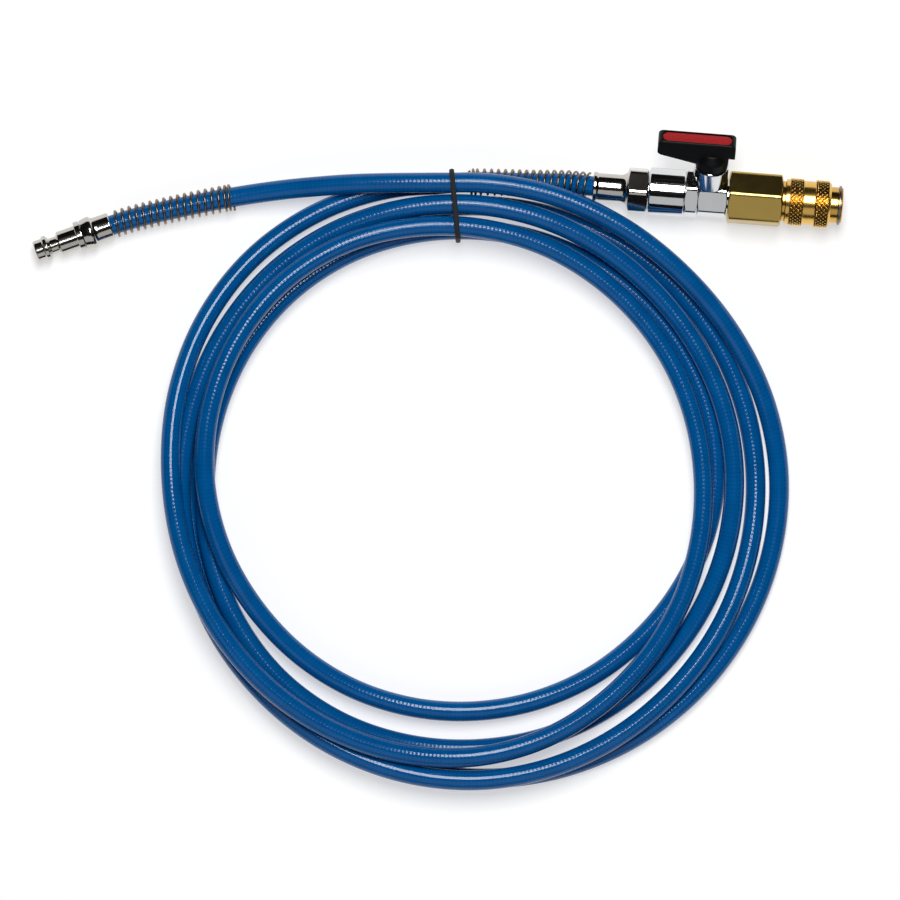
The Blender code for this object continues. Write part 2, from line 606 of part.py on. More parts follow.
def build_lever(stem, finishes):
    """Moulded lever: a long arm with a slanted underside on a round hub, and its red strip."""
    top = LEVER_TOP
    end_low = top - LEVER_END_HEIGHT
    corner = LEVER_CORNER
    outline = [(-LEVER_FRONT, end_low), (-LEVER_FRONT, top - corner), (-LEVER_FRONT + corner, top),
               (LEVER_BACK - corner, top), (LEVER_BACK, top - corner), (LEVER_BACK, end_low),
               (LEVER_HUB_RADIUS - GAP, end_low), (LEVER_HUB_RADIUS - GAP, LEVER_UNDERSIDE),
               (-LEVER_HUB_RADIUS + GAP, LEVER_UNDERSIDE)]
    arm = flat_plate("lever", outline, LEVER_WIDTH, stem, finishes["black_plastic"])
    bevel = arm.modifiers.new("edges", "BEVEL")
    bevel.width = LEVER_EDGE
    bevel.segments = 2
    bevel.limit_method = "ANGLE"
    bevel.angle_limit = 40 * DEGREE
    hub_low = BOSS_HEIGHT + GAP
    hub = turned("lever_hub", [(LEVER_HUB_RADIUS - HUB_WALL, LEVER_UNDERSIDE + HUB_WALL + HUB_CONE),
                               (LEVER_HUB_RADIUS, LEVER_UNDERSIDE + HUB_WALL),
                               (LEVER_HUB_RADIUS, hub_low)], [], stem)
    stem_top = top - LEVER_END_HEIGHT
    flat = STEM_FLAT + GAP
    socket = rod("lever_socket", STEM_RADIUS + GAP, hub_low - GAP, stem_top + GAP, stem, None,
                 SMALL_ROUND)
    wide = 2 * STEM_RADIUS
    for side, low, high in (("near", -wide, -flat), ("far", flat, wide)):
        land = box(f"lever_land_{side}", (-wide, low, BOSS_HEIGHT + STEM_FLAT_START + GAP),
                   (wide, high, top), stem)
        cut(socket, land)
    head_seat = stem_top + HEAD_SEAT
    screw_hole = rod("lever_screw_hole", SCREW_RADIUS + GAP, stem_top, top, stem, None, SMALL_ROUND)
    head_hole = rod("lever_head_hole", SCREW_HEAD_RADIUS + GAP, head_seat, top + GAP, stem, None,
                    SMALL_ROUND)
    strip_low = -LEVER_FRONT + STRIP_END_MARGIN
    strip_high = LEVER_BACK - STRIP_END_MARGIN
    recess = flat_strip("lever_recess", strip_low - GAP, strip_high + GAP, STRIP_WIDTH + 2 * GAP,
                        top - STRIP_DEPTH - GAP, top + STRIP_DEPTH, stem)
    join(arm, hub)
    cut(arm, socket, screw_hole, head_hole, recess)
    flat_strip("lever_strip", strip_low, strip_high, STRIP_WIDTH, top - STRIP_DEPTH, top - STRIP_SINK,
               stem, finishes["red_strip"])
    head_high = head_seat + GAP + SCREW_HEAD_HEIGHT
    turned("lever_screw",
           [(SCREW_HEAD_RADIUS * 0.8, head_high), (SCREW_HEAD_RADIUS, head_high - 0.5 * MM),
            (SCREW_HEAD_RADIUS, head_seat + GAP), (SCREW_RADIUS, head_seat + GAP),
            (SCREW_RADIUS, stem_top - SCREW_LENGTH)], [], stem, finishes["steel"], SMALL_ROUND)


def flat_plate(name, outline, width, frame, finish=None):
    """An outline in the frame's XZ plane with a width along its Y axis."""
    mesh = bpy.data.meshes.new(name)
    shape = bmesh.new()
    corners = [shape.verts.new((x, -width / 2, z)) for x, z in outline]
    face = shape.faces.new(corners)
    grown = bmesh.ops.extrude_face_region(shape, geom=[face])
    moved = [item for item in grown["geom"] if isinstance(item, bmesh.types.BMVert)]
    bmesh.ops.translate(shape, vec=(0, width, 0), verts=moved)
    bmesh.ops.recalc_face_normals(shape, faces=shape.faces)
    shape.to_mesh(mesh)
    shape.free()
    return add_object(name, mesh, frame, finish)


def flat_strip(name, low, high, width, bottom, top, frame, finish=None):
    """A strip along X with half-round ends."""
    half = width / 2
    turns = 6
    outline = []
    for centre, start in ((high - half, -math.pi / 2), (low + half, math.pi / 2)):
        for index in range(turns + 1):
            angle = start + math.pi * index / turns
            outline.append((centre + half * math.cos(angle), half * math.sin(angle)))
    mesh = bpy.data.meshes.new(name)
    shape = bmesh.new()
    face = shape.faces.new([shape.verts.new((x, y, bottom)) for x, y in outline])
    grown = bmesh.ops.extrude_face_region(shape, geom=[face])
    moved = [item for item in grown["geom"] if isinstance(item, bmesh.types.BMVert)]
    bmesh.ops.translate(shape, vec=(0, 0, top - bottom), verts=moved)
    bmesh.ops.recalc_face_normals(shape, faces=shape.faces)
    shape.to_mesh(mesh)
    shape.free()
    return add_object(name, mesh, frame, finish)


# Quick coupling

def build_coupling_bodies(line, finishes):
    """Brass hexagon screwed on the valve, and the front body that is screwed into it."""
    thread_hole = BODY_THREAD_RADIUS + GAP
    body = hexagon("coupling_hex_body", COUPLING_FLATS, COUPLING_X, COUPLING_NECK_X, COUPLING_ROLL,
                   line, finishes["brass"])
    valve_thread = rod("coupling_valve_thread", thread_hole, COUPLING_X - GAP,
                       BODY_END_X + BODY_THREAD_LENGTH + GAP, line)
    passage = rod("coupling_passage", SEAT_HOLE_RADIUS, COUPLING_X, COUPLING_NECK_X, line)
    front_thread = rod("coupling_front_thread", thread_hole + GAP, SEAL_X - GAP,
                       COUPLING_NECK_X + GAP, line)
    cut(body, valve_thread, passage, front_thread)
    turned("coupling_body_seal",
           [(thread_hole, SEAL_X + SEAL_LENGTH), (thread_hole, SEAL_X)],
           [(SEAT_HOLE_RADIUS + GAP, SEAL_X), (SEAT_HOLE_RADIUS + GAP, SEAL_X + SEAL_LENGTH)],
           line, finishes["black_rubber"], SMALL_ROUND)

    flange = COUPLING_NECK_X + GAP
    flange_end = SLEEVE_X - GAP
    chamfer = 0.5 * MM
    groove = BARREL_RADIUS - RING_GROOVE
    outer = [(BARREL_RADIUS - chamfer, NOSE_X), (BARREL_RADIUS, NOSE_X - chamfer),
             (BARREL_RADIUS, RING_X + RING_LENGTH + GAP), (groove, RING_X + RING_LENGTH + GAP),
             (groove, RING_X - GAP), (BARREL_RADIUS, RING_X - GAP), (BARREL_RADIUS, flange_end),
             (FLANGE_RADIUS, flange_end), (FLANGE_RADIUS, flange), (thread_hole, flange),
             (thread_hole, FRONT_BODY_X)]
    chamber_start = FRONT_BODY_X + CHAMBER_START
    seal_groove = PLUG_SEAL_MIDDLE + PLUG_SEAL_WIRE + GAP
    inner = [(INLET_RADIUS, FRONT_BODY_X), (INLET_RADIUS, chamber_start),
             (CHAMBER_RADIUS, chamber_start), (CHAMBER_RADIUS, SEAT_X),
             (SEAT_HOLE_RADIUS, SEAT_X), (SEAT_HOLE_RADIUS, SEAT_X + SEAT_WALL),
             (TIP_BORE_RADIUS, SEAT_X + SEAT_WALL), (TIP_BORE_RADIUS, PLUG_SEAL_X - PLUG_SEAL_WIRE - GAP),
             (seal_groove, PLUG_SEAL_X - PLUG_SEAL_WIRE - GAP),
             (seal_groove, PLUG_SEAL_X + PLUG_SEAL_WIRE + GAP),
             (TIP_BORE_RADIUS, PLUG_SEAL_X + PLUG_SEAL_WIRE + GAP), (TIP_BORE_RADIUS, SOCKET_END_X),
             (SOCKET_RADIUS, SOCKET_END_X + 0.8 * MM), (SOCKET_RADIUS, NOSE_X - chamfer),
             (SOCKET_RADIUS + chamfer, NOSE_X)]
    front = turned("coupling_front_body", outer, inner, line, finishes["brass"])
    for index in range(LOCK_BALL_COUNT):
        angle = 2 * math.pi * (index + 0.5) / LOCK_BALL_COUNT
        hole = rod(f"lock_ball_hole_{index + 1}", LOCK_BALL_RADIUS + GAP, SOCKET_RADIUS * 0.5,
                   BARREL_RADIUS * 1.5, line, None, SMALL_ROUND)
        turn = Matrix.Rotation(angle, 4, "Z") @ Matrix.Rotation(math.pi / 2, 4, "Y")
        hole.matrix_local = Matrix.Translation((0, 0, LOCK_BALL_X)) @ turn
        cut(front, hole)
    ring("plug_seal", PLUG_SEAL_MIDDLE, PLUG_SEAL_WIRE, PLUG_SEAL_X, line, finishes["black_rubber"])
    turned("retaining_ring",
           [(RING_RADIUS, RING_X + RING_LENGTH), (RING_RADIUS, RING_X)],
           [(groove + GAP, RING_X), (groove + GAP, RING_X + RING_LENGTH)], line, finishes["steel"])


def build_sleeve(line, finishes):
    """Sliding sleeve: two raised bands with a waist, a spring room and a ramp for the lock balls."""
    chamfer = 1.2 * MM
    rear_band = SLEEVE_X + 2.0 * MM
    front_band = SLEEVE_END_X - 1.3 * MM
    outer = [(SLEEVE_RADIUS - chamfer, SLEEVE_END_X), (SLEEVE_RADIUS - chamfer / 2, front_band),
             (SLEEVE_RADIUS, front_band), (SLEEVE_RADIUS, front_band - SLEEVE_KNURL_LENGTH),
             (SLEEVE_WAIST_RADIUS, front_band - SLEEVE_KNURL_LENGTH),
             (SLEEVE_WAIST_RADIUS, rear_band + SLEEVE_KNURL_LENGTH),
             (SLEEVE_RADIUS, rear_band + SLEEVE_KNURL_LENGTH), (SLEEVE_RADIUS, rear_band),
             (SLEEVE_RADIUS - chamfer / 2, rear_band), (SLEEVE_RADIUS - chamfer / 2, SLEEVE_X)]
    ball_out = LOCK_BALL_CENTRE + LOCK_BALL_RADIUS
    ramp_top = ball_out + 2 * RUN
    ramp_low = LOCK_BALL_X - SLEEVE_TRAVEL - LOCK_BALL_RADIUS
    ramp_high = LOCK_BALL_X - LOCK_BALL_RADIUS * 0.3
    lip_x = SLEEVE_END_X - 0.8 * MM
    inner = [(SLEEVE_SPRING_ROOM, SLEEVE_X), (SLEEVE_SPRING_ROOM, SLEEVE_STEP_X),
             (SLEEVE_BORE, SLEEVE_STEP_X), (SLEEVE_BORE, ramp_low), (ramp_top, ramp_high),
             (ramp_top, lip_x), (SLEEVE_BORE, lip_x), (SLEEVE_BORE, SLEEVE_END_X)]
    turned("coupling_sleeve", outer, inner, line, finishes["brass"])


def build_lock_balls(line, finishes):
    """Locking balls in the front body's holes, pushed out under the drawn-back sleeve."""
    for index in range(LOCK_BALL_COUNT):
        angle = 2 * math.pi * (index + 0.5) / LOCK_BALL_COUNT
        mesh = bpy.data.meshes.new(f"lock_ball_{index + 1}")
        shape = bmesh.new()
        bmesh.ops.create_uvsphere(shape, u_segments=10, v_segments=6, radius=LOCK_BALL_RADIUS)
        shape.to_mesh(mesh)
        shape.free()
        ball = add_object(f"lock_ball_{index + 1}", mesh, line, finishes["steel"])
        ball.location = (LOCK_BALL_CENTRE * math.cos(angle), LOCK_BALL_CENTRE * math.sin(angle),
                         LOCK_BALL_X)


def build_poppet(line, finishes):
    """Shut-off poppet with its seal, held against the seat by a spring."""
    disc_high = SEAT_X - 1.2 * MM
    disc_low = disc_high - 1.8 * MM
    disc = CHAMBER_RADIUS - 0.6 * MM
    neck = SEAT_HOLE_RADIUS - 0.7 * MM
    tail = 1.6 * MM
    turned("poppet",
           [(neck - 0.6 * MM, SEAT_X + SEAT_WALL + 2.6 * MM), (neck, SEAT_X + SEAT_WALL + 2.0 * MM),
            (neck, disc_high), (disc, disc_high), (disc, disc_low), (tail, disc_low),
            (tail, FRONT_BODY_X + 6.6 * MM)], [], line, finishes["brass"], SMALL_ROUND)
    turned("poppet_seal",
           [(disc, SEAT_X - GAP), (disc, disc_high + GAP)],
           [(neck + GAP, disc_high + GAP), (neck + GAP, SEAT_X - GAP)], line,
           finishes["black_rubber"], SMALL_ROUND)
    low = FRONT_BODY_X + CHAMBER_START
    coil_spring("poppet_spring", POPPET_SPRING_RADIUS, POPPET_SPRING_WIRE, low + GAP,
                disc_low - GAP, 5, line, finishes["steel"])
    coil_spring("sleeve_spring", BARREL_RADIUS + RUN + SLEEVE_SPRING_WIRE / 2, SLEEVE_SPRING_WIRE,
                SLEEVE_X, SLEEVE_STEP_X - GAP, 4, line, finishes["steel"])


def wire(name, points, diameter, frame, finish, resolution, capped=True):
    """A round wire or tube along points."""
    curve = bpy.data.curves.new(name, "CURVE")
    curve.dimensions = "3D"
    curve.bevel_depth = diameter / 2
    curve.bevel_resolution = resolution
    curve.use_fill_caps = capped
    spline = curve.splines.new("POLY")
    spline.points.add(len(points) - 1)
    for target, point in zip(spline.points, points):
        target.co = (*point, 1.0)
    item = bpy.data.objects.new(name, curve)
    item.parent = frame
    bpy.data.collections[COLLECTION].objects.link(item)
    curve.materials.append(finish)
    return item


def coil_spring(name, radius, wire_diameter, low, high, curls, frame, finish):
    """A small compression spring between two stations of a frame."""
    count = curls * COIL_SPRING_POINTS
    first = low + wire_diameter / 2
    last = high - wire_diameter / 2
    points = []
    for index in range(count + 1):
        angle = 2 * math.pi * index / COIL_SPRING_POINTS
        points.append((radius * math.cos(angle), radius * math.sin(angle),
                       first + (last - first) * index / count))
    wire(name, points, wire_diameter, frame, finish, 0)


# Plug

def build_plug(plug, finishes):
    """Nickel plug with its locking groove and barb, and the nut that clamps the hose on it."""
    ridge = PLUG_TIP_LENGTH
    ridge_end = ridge + PLUG_RIDGE_LENGTH
    groove_end = PLUG_GROOVE_START + PLUG_GROOVE_LENGTH
    body = groove_end + 1.0 * MM
    collar = PLUG_COLLAR_START
    collar_end = collar + PLUG_COLLAR_LENGTH
    thread_end = PLUG_HOSE_START - GAP
    edge = TURNED_EDGE
    barb_end = PLUG_HOSE_START + BARB_LENGTH
    outer = [(BARB_RADIUS, barb_end), (BARB_RADIUS, thread_end), (PLUG_THREAD_RADIUS, thread_end),
             (PLUG_THREAD_RADIUS, collar_end), (PLUG_COLLAR_RADIUS, collar_end),
             (PLUG_COLLAR_RADIUS, collar), (PLUG_BODY_RADIUS, collar), (PLUG_BODY_RADIUS, body),
             (PLUG_GROOVE_RADIUS, groove_end), (PLUG_GROOVE_RADIUS, PLUG_GROOVE_START),
             (PLUG_RIDGE_RADIUS, ridge_end), (PLUG_RIDGE_RADIUS, ridge + edge),
             (PLUG_TIP_RADIUS, ridge), (PLUG_TIP_RADIUS, edge), (PLUG_TIP_RADIUS - edge, 0.0)]
    inner = [(PLUG_BORE, 0.0), (PLUG_BORE, PLUG_COLLAR_START), (BARB_BORE, collar_end),
             (BARB_BORE, barb_end)]
    turned("plug_body", outer, inner, plug, finishes["nickel"])

    nut = collar_end + GAP
    nut_end = collar_end + PLUG_NUT_LENGTH
    bulge = nut + PLUG_NUT_BULGE
    taper = nut + PLUG_NUT_TAPER
    start_radius = PLUG_COLLAR_RADIUS - 0.2 * MM
    step = thread_end + GAP
    outer = [(PLUG_NECK_RADIUS - edge, nut_end), (PLUG_NECK_RADIUS, nut_end - edge),
             (PLUG_NECK_RADIUS, taper)]
    outer += arc(PLUG_NECK_RADIUS, taper, PLUG_NUT_RADIUS - 0.3 * MM, bulge + 0.6 * MM, 3, True)
    outer += [(PLUG_NUT_RADIUS, bulge - 0.6 * MM), (PLUG_NUT_RADIUS - 0.15 * MM, bulge - 2.2 * MM),
              (start_radius, nut)]
    inner = [(PLUG_THREAD_RADIUS + GAP, nut), (PLUG_THREAD_RADIUS + GAP, step),
             (HOSE_RADIUS + GAP, step), (HOSE_RADIUS + GAP, nut_end)]
    turned("plug_clamp_nut", outer, inner, plug, finishes["nickel"])


# Hose

def smooth_through(values, count):
    """Read count values along a smooth curve through evenly spaced values."""
    values = np.asarray(values, dtype=float)
    ends = [2 * values[0] - values[1], *values, 2 * values[-1] - values[-2]]
    padded = np.asarray(ends)
    place = np.linspace(0, len(values) - 1, count)
    first = np.minimum(place.astype(int), len(values) - 2)
    t = place - first
    if padded.ndim > 1:
        t = t[:, None]
    before, here, after, beyond = (padded[first + shift] for shift in range(4))
    return here + 0.5 * t * (after - before + t * (2 * before - 5 * here + 4 * after - beyond
                                                   + t * (3 * (here - after) + beyond - before)))


def settle(radii, heights):
    """Push strands that cross one bearing apart until every pair clears, above the floor.

    Points of one bearing are LOOP_POINTS apart along the hose, so each column is a bearing. Each
    straight stretch between two points is also tested at its quarters, and its ends share the push.
    """
    spacing = (HOSE_DIAMETER + HOSE_GAP) / MM + SETTLE_MARGIN
    floor = HOSE_RADIUS / MM + 0.1
    start = np.array((radii, heights))
    moved = np.zeros_like(start)
    for sweep in range(SETTLE_SWEEPS):
        push = np.zeros_like(moved)
        place = start + moved
        for share in (0.0, 0.25, 0.5, 0.75):
            between = (1 - share) * place[:, :-1] + share * place[:, 1:]
            for lag in range(LOOP_POINTS, between.shape[1], LOOP_POINTS):
                apart = between[:, lag:] - between[:, :-lag]
                distance = np.maximum(np.hypot(*apart), 1e-6)
                step = apart / distance * np.maximum(spacing - distance, 0.0) * SETTLE_RATE
                push[:, lag:-1] += step * (1 - share)
                push[:, lag + 1:] += step * share
                push[:, :-lag - 1] -= step * (1 - share)
                push[:, 1:-lag] -= step * share
        moved += push
        if sweep % 4 == 0 and sweep < SETTLE_SWEEPS * 0.8:
            moved[:, 1:-1] += 0.2 * (moved[:, :-2] - 2 * moved[:, 1:-1] + moved[:, 2:])
        moved[1] = np.maximum(moved[1], floor - start[1])
    return start + moved


def coil_points():
    """Centres of the hose round the coil, in the route's millimetres."""
    count = LOOP_POINTS * len(COIL_RADII) + 1
    flat_radii = [value for turn in COIL_RADII for value in turn] + [COIL_END_RADIUS]
    flat_heights = [value for turn in COIL_HEIGHTS for value in turn] + [COIL_END_HEIGHT]
    radii, heights = settle(smooth_through(flat_radii, count), smooth_through(flat_heights, count))
    bearing = 2 * math.pi * np.arange(count) / LOOP_POINTS
    return np.column_stack((radii * np.sin(bearing), radii * np.cos(bearing), heights))


def to_world(points):
    """Turn and shift route millimetres into the part's metres, so that the hose meets its nut."""
    turn = np.array(((math.cos(ROUTE_TURN), -math.sin(ROUTE_TURN)),
                     (math.sin(ROUTE_TURN), math.cos(ROUTE_TURN))))
    centre = np.array((LIP_X, AXIS_Y)) - turn @ np.array(LIP_IN_ROUTE) * MM
    points = np.atleast_2d(np.asarray(points, dtype=float))
    flat = points[:, :2] * MM @ turn.T + centre
    return np.column_stack((flat, points[:, 2] * MM))


def along(points, start, end, step):
    """Points evenly spaced along a polyline between two lengths from its start."""
    legs = np.linalg.norm(np.diff(points, axis=0), axis=1)
    lengths = np.concatenate(([0.0], np.cumsum(legs)))
    count = max(2, int(round((end - start) / step)) + 1)
    wanted = np.linspace(start, end, count)
    return np.column_stack([np.interp(wanted, lengths, points[:, axis]) for axis in range(3)])


def route_length(points):
    """Length of a polyline."""
    return float(np.linalg.norm(np.diff(points, axis=0), axis=1).sum())


def hose_routes():
    """Centre lines of the plug lead, the coil and the valve lead, in metres."""
    coil = to_world(coil_points())
    rise = np.array((math.cos(PLUG_RISE), math.sin(PLUG_RISE)))
    tip = np.array(PLUG_TIP_IN_ROUTE)
    plug_height = PLUG_NUT_RADIUS / MM
    nut_end = PLUG_COLLAR_START + PLUG_COLLAR_LENGTH + PLUG_NUT_LENGTH
    starts = [(*(tip + rise * station / MM), plug_height)
              for station in (PLUG_HOSE_START, nut_end - 2 * MM, nut_end + 3 * MM)]
    plug_side = to_world(starts + list(PLUG_LEAD))
    plug_curve = smooth_through(np.vstack((plug_side, coil[:3])), LEAD_SAMPLES)
    plug_curve = plug_curve[:int(LEAD_SAMPLES * len(plug_side) / (len(plug_side) + 2)) + 1]
    plug_curve = np.vstack((plug_curve, coil[0]))
    valve_side = to_world(VALVE_LEAD)
    level = [(x, AXIS_Y, AXIS_Z) for x in (LIP_X - 3 * MM, LIP_X + 3 * MM, HOSE_END_X)]
    valve_curve = smooth_through(np.vstack((coil[-4:], valve_side, level)), LEAD_SAMPLES)
    stretches = len(valve_side) + 6
    valve_curve = np.vstack((coil[-2], valve_curve[int(math.ceil((LEAD_SAMPLES - 1) * 2 / stretches)) + 1:]))
    return plug_curve, coil[:-1], valve_curve


def keep_clear(lead, strands, spacing, held):
    """Push a lead away from other strands until it clears them, with a length held at each end."""
    total = route_length(lead)
    lead = along(lead, 0.0, total, LEAD_POINT_STEP)
    rows = np.arange(len(lead))
    place = np.linspace(0.0, total, len(lead))
    free = np.minimum(place - held[0], total - place - held[1])
    ease = np.clip(free / JOINT_EASE, 0.0, 1.0)
    wanted = np.interp(place, *spacing)
    for _ in range(LEAD_SWEEPS):
        apart = lead[:, None, :] - strands[None, :, :]
        distance = np.linalg.norm(apart, axis=2)
        nearest = distance.argmin(axis=1)
        least = distance[rows, nearest]
        short = np.maximum(wanted - least, 0.0) * ease * LEAD_RATE
        lead = lead + apart[rows, nearest] * (short / least)[:, None]
        lead[1:-1] += LEAD_SMOOTHING * ease[1:-1, None] * (lead[:-2] - 2 * lead[1:-1] + lead[2:])
    return lead


def clear_routes():
    """Centre lines of the three lengths of hose, with both leads clear of the coil."""
    plug_curve, coil, valve_curve = hose_routes()
    length = route_length(coil)
    plain = HOSE_DIAMETER + HOSE_GAP + SETTLE_MARGIN * MM
    sprung = HOSE_RADIUS + SPRING_RADIUS + SPRING_WIRE / 2 + HOSE_GAP
    plug_curve = keep_clear(plug_curve, along(coil, JOINT_LENGTH, length, LEAD_POINT_STEP),
                            ((0.0, 1.0), (plain, plain)),
                            (NUT_COVER["plug_kink_spring"] + HELD_MARGIN, 0.0))
    sprung_length = SPRING_LENGTH + NUT_COVER["valve_kink_spring"] + JOINT_EASE / 2
    spring_start = route_length(valve_curve) - sprung_length
    valve_curve = keep_clear(valve_curve, along(coil, 0.0, length - JOINT_LENGTH, LEAD_POINT_STEP),
                             ((0.0, spring_start, spring_start + JOINT_EASE / 2),
                              (plain, plain, sprung)),
                             (0.0, NUT_COVER["valve_kink_spring"] + HELD_MARGIN))
    return plug_curve, coil, valve_curve


def build_hose(finishes):
    """Hose in three lengths that meet face to face, each a tube with its bore."""
    plug_curve, coil, valve_curve = clear_routes()
    first = coil[1] - coil[0]
    last = coil[-1] - coil[-2]
    first_cut = first / np.linalg.norm(first) * GAP / 2
    last_cut = last / np.linalg.norm(last) * GAP / 2
    turns = coil.copy()
    turns[0] = coil[0] + first / 2 + first_cut
    turns[-1] = coil[-2] + last / 2 - last_cut
    plug_lead = along(plug_curve, 0.0, route_length(plug_curve), LEAD_STEP)
    plug_lead = np.vstack((plug_lead, turns[0] - 2 * first_cut))
    valve_lead = along(valve_curve, 0.0, route_length(valve_curve), LEAD_STEP)
    valve_lead = np.vstack((turns[-1] + 2 * last_cut, valve_lead))
    report_gap(turns)
    total = route_length(plug_lead) + route_length(turns) + route_length(valve_lead)
    print(f"hose length {total:.3f} m")
    tube("hose_plug_lead", plug_lead, finishes["blue_hose"], 2)
    tube("hose_coil", turns, finishes["blue_hose"], 1)
    tube("hose_valve_lead", valve_lead, finishes["blue_hose"], 2)
    return plug_lead, turns, valve_lead


def report_gap(points):
    """Measure the least gap between turns of the coil and print it."""
    fine = along(points, 0.0, route_length(points), GAUGE_STEP)
    skip = int(GAUGE_SKIP / GAUGE_STEP)
    least = min(float(np.linalg.norm(fine[index + skip:] - fine[index], axis=1).min())
                for index in range(len(fine) - skip))
    print(f"coil least gap {(least - HOSE_DIAMETER) / MM:.2f} mm")


def tube(name, points, finish, resolution):
    """Hose along points: an open round wall thickened inwards."""
    curve = wire(name + "_route", points, HOSE_DIAMETER, None, finish, resolution, False)
    bpy.context.view_layer.update()
    evaluated = curve.evaluated_get(bpy.context.evaluated_depsgraph_get())
    mesh = bpy.data.meshes.new_from_object(evaluated)
    mesh.name = name
    bpy.data.objects.remove(curve, do_unlink=True)
    item = bpy.data.objects.new(name, mesh)
    bpy.data.collections[COLLECTION].objects.link(item)
    wall = item.modifiers.new("wall", "SOLIDIFY")
    wall.thickness = HOSE_WALL
    wall.offset = -1.0
    wall.use_even_offset = True
    return item


def kink_spring(name, lead, from_start, finishes):
    """Open coil spring round the hose next to its nut, with its last curls close together."""
    path = lead if from_start else lead[::-1]
    total = route_length(path)
    open_curls = SPRING_CURLS - SPRING_CLOSE_CURLS
    close_length = SPRING_CLOSE_CURLS * SPRING_CLOSE_PITCH
    open_pitch = (SPRING_LENGTH - close_length) / open_curls
    start = NUT_COVER[name] + GAP + SPRING_WIRE / 2
    count = SPRING_CURLS * SPRING_CURL_POINTS
    curl = np.arange(count + 1) / SPRING_CURL_POINTS
    lengths = np.minimum(curl, open_curls) * open_pitch
    lengths += np.maximum(curl - open_curls, 0.0) * SPRING_CLOSE_PITCH
    legs = np.linalg.norm(np.diff(path, axis=0), axis=1)
    stations = np.concatenate(([0.0], np.cumsum(legs)))
    wanted = np.minimum(start + SPRING_WIRE + lengths, total)
    centre = np.column_stack([np.interp(wanted, stations, path[:, axis]) for axis in range(3)])
    tangent = np.gradient(centre, axis=0)
    tangent /= np.linalg.norm(tangent, axis=1)[:, None]
    side = np.cross(tangent, (0.0, 0.0, 1.0))
    side /= np.linalg.norm(side, axis=1)[:, None]
    up = np.cross(side, tangent)
    angle = 2 * math.pi * curl[:, None]
    points = centre + SPRING_RADIUS * (np.cos(angle) * side + np.sin(angle) * up)
    straight = points[0] - tangent[0] * SPRING_WIRE
    points = np.vstack((straight, points))
    fine = along(points, 0.0, route_length(points), 1.0 * MM)
    skip = 12
    least = min(float(np.linalg.norm(fine[index + skip:] - fine[index], axis=1).min())
                for index in range(len(fine) - skip))
    print(f"{name} least gap {(least - SPRING_WIRE) / MM:.2f} mm")
    wire(name, points, SPRING_WIRE, None, finishes["spring_steel"], 1)


def build_band(plug_lead, coil, valve_lead, finishes):
    """Elastic band pulled round the six strands of the bundle."""
    centre = to_world([(0.0, 0.0, 0.0)])[0]
    bearing = BAND_BEARING - ROUTE_TURN
    outward = np.array((math.sin(bearing), math.cos(bearing), 0.0))
    forward = np.array((math.cos(bearing), -math.sin(bearing), 0.0))
    hull_points = []
    clear = HOSE_RADIUS + BAND_CLEARANCE
    for strand in (plug_lead, coil, valve_lead):
        fine = along(strand, 0.0, route_length(strand), 1.0 * MM)
        offset = fine - centre
        near = (np.abs(offset @ forward) < BAND_WIDTH) & (offset @ outward > 0)
        for point in offset[near]:
            for index in range(SMALL_ROUND):
                angle = 2 * math.pi * index / SMALL_ROUND
                hull_points.append((point @ outward + clear * math.cos(angle),
                                    point[2] + clear * math.sin(angle)))
    outline = hull(hull_points)
    mesh = bpy.data.meshes.new("bundle_band")
    vertices = []
    for across in (-BAND_WIDTH / 2, BAND_WIDTH / 2):
        for radius, height in outline:
            place = centre + outward * radius + forward * across
            vertices.append((place[0], place[1], height))
    count = len(outline)
    faces = [(index, (index + 1) % count, count + (index + 1) % count, count + index)
             for index in range(count)]
    mesh.from_pydata(vertices, [], faces)
    item = add_object("bundle_band", mesh, None, finishes["black_rubber"])
    shell = item.modifiers.new("thickness", "SOLIDIFY")
    shell.thickness = BAND_THICKNESS
    shell.offset = 1.0
    shell.use_even_offset = True


def hull(points):
    """Convex outline round flat points, thinned so that no two corners nearly touch."""
    ordered = sorted(set((round(x, 6), round(y, 6)) for x, y in points))

    def half(sequence):
        chain = []
        for point in sequence:
            while len(chain) > 1:
                (ax, ay), (bx, by) = chain[-2], chain[-1]
                if (bx - ax) * (point[1] - ay) - (by - ay) * (point[0] - ax) > 0:
                    break
                chain.pop()
            chain.append(point)
        return chain[:-1]

    outline = half(ordered) + half(ordered[::-1])
    kept = [outline[0]]
    for point in outline[1:]:
        if math.dist(point, kept[-1]) > BAND_LEAST_LEG:
            kept.append(point)
    return kept


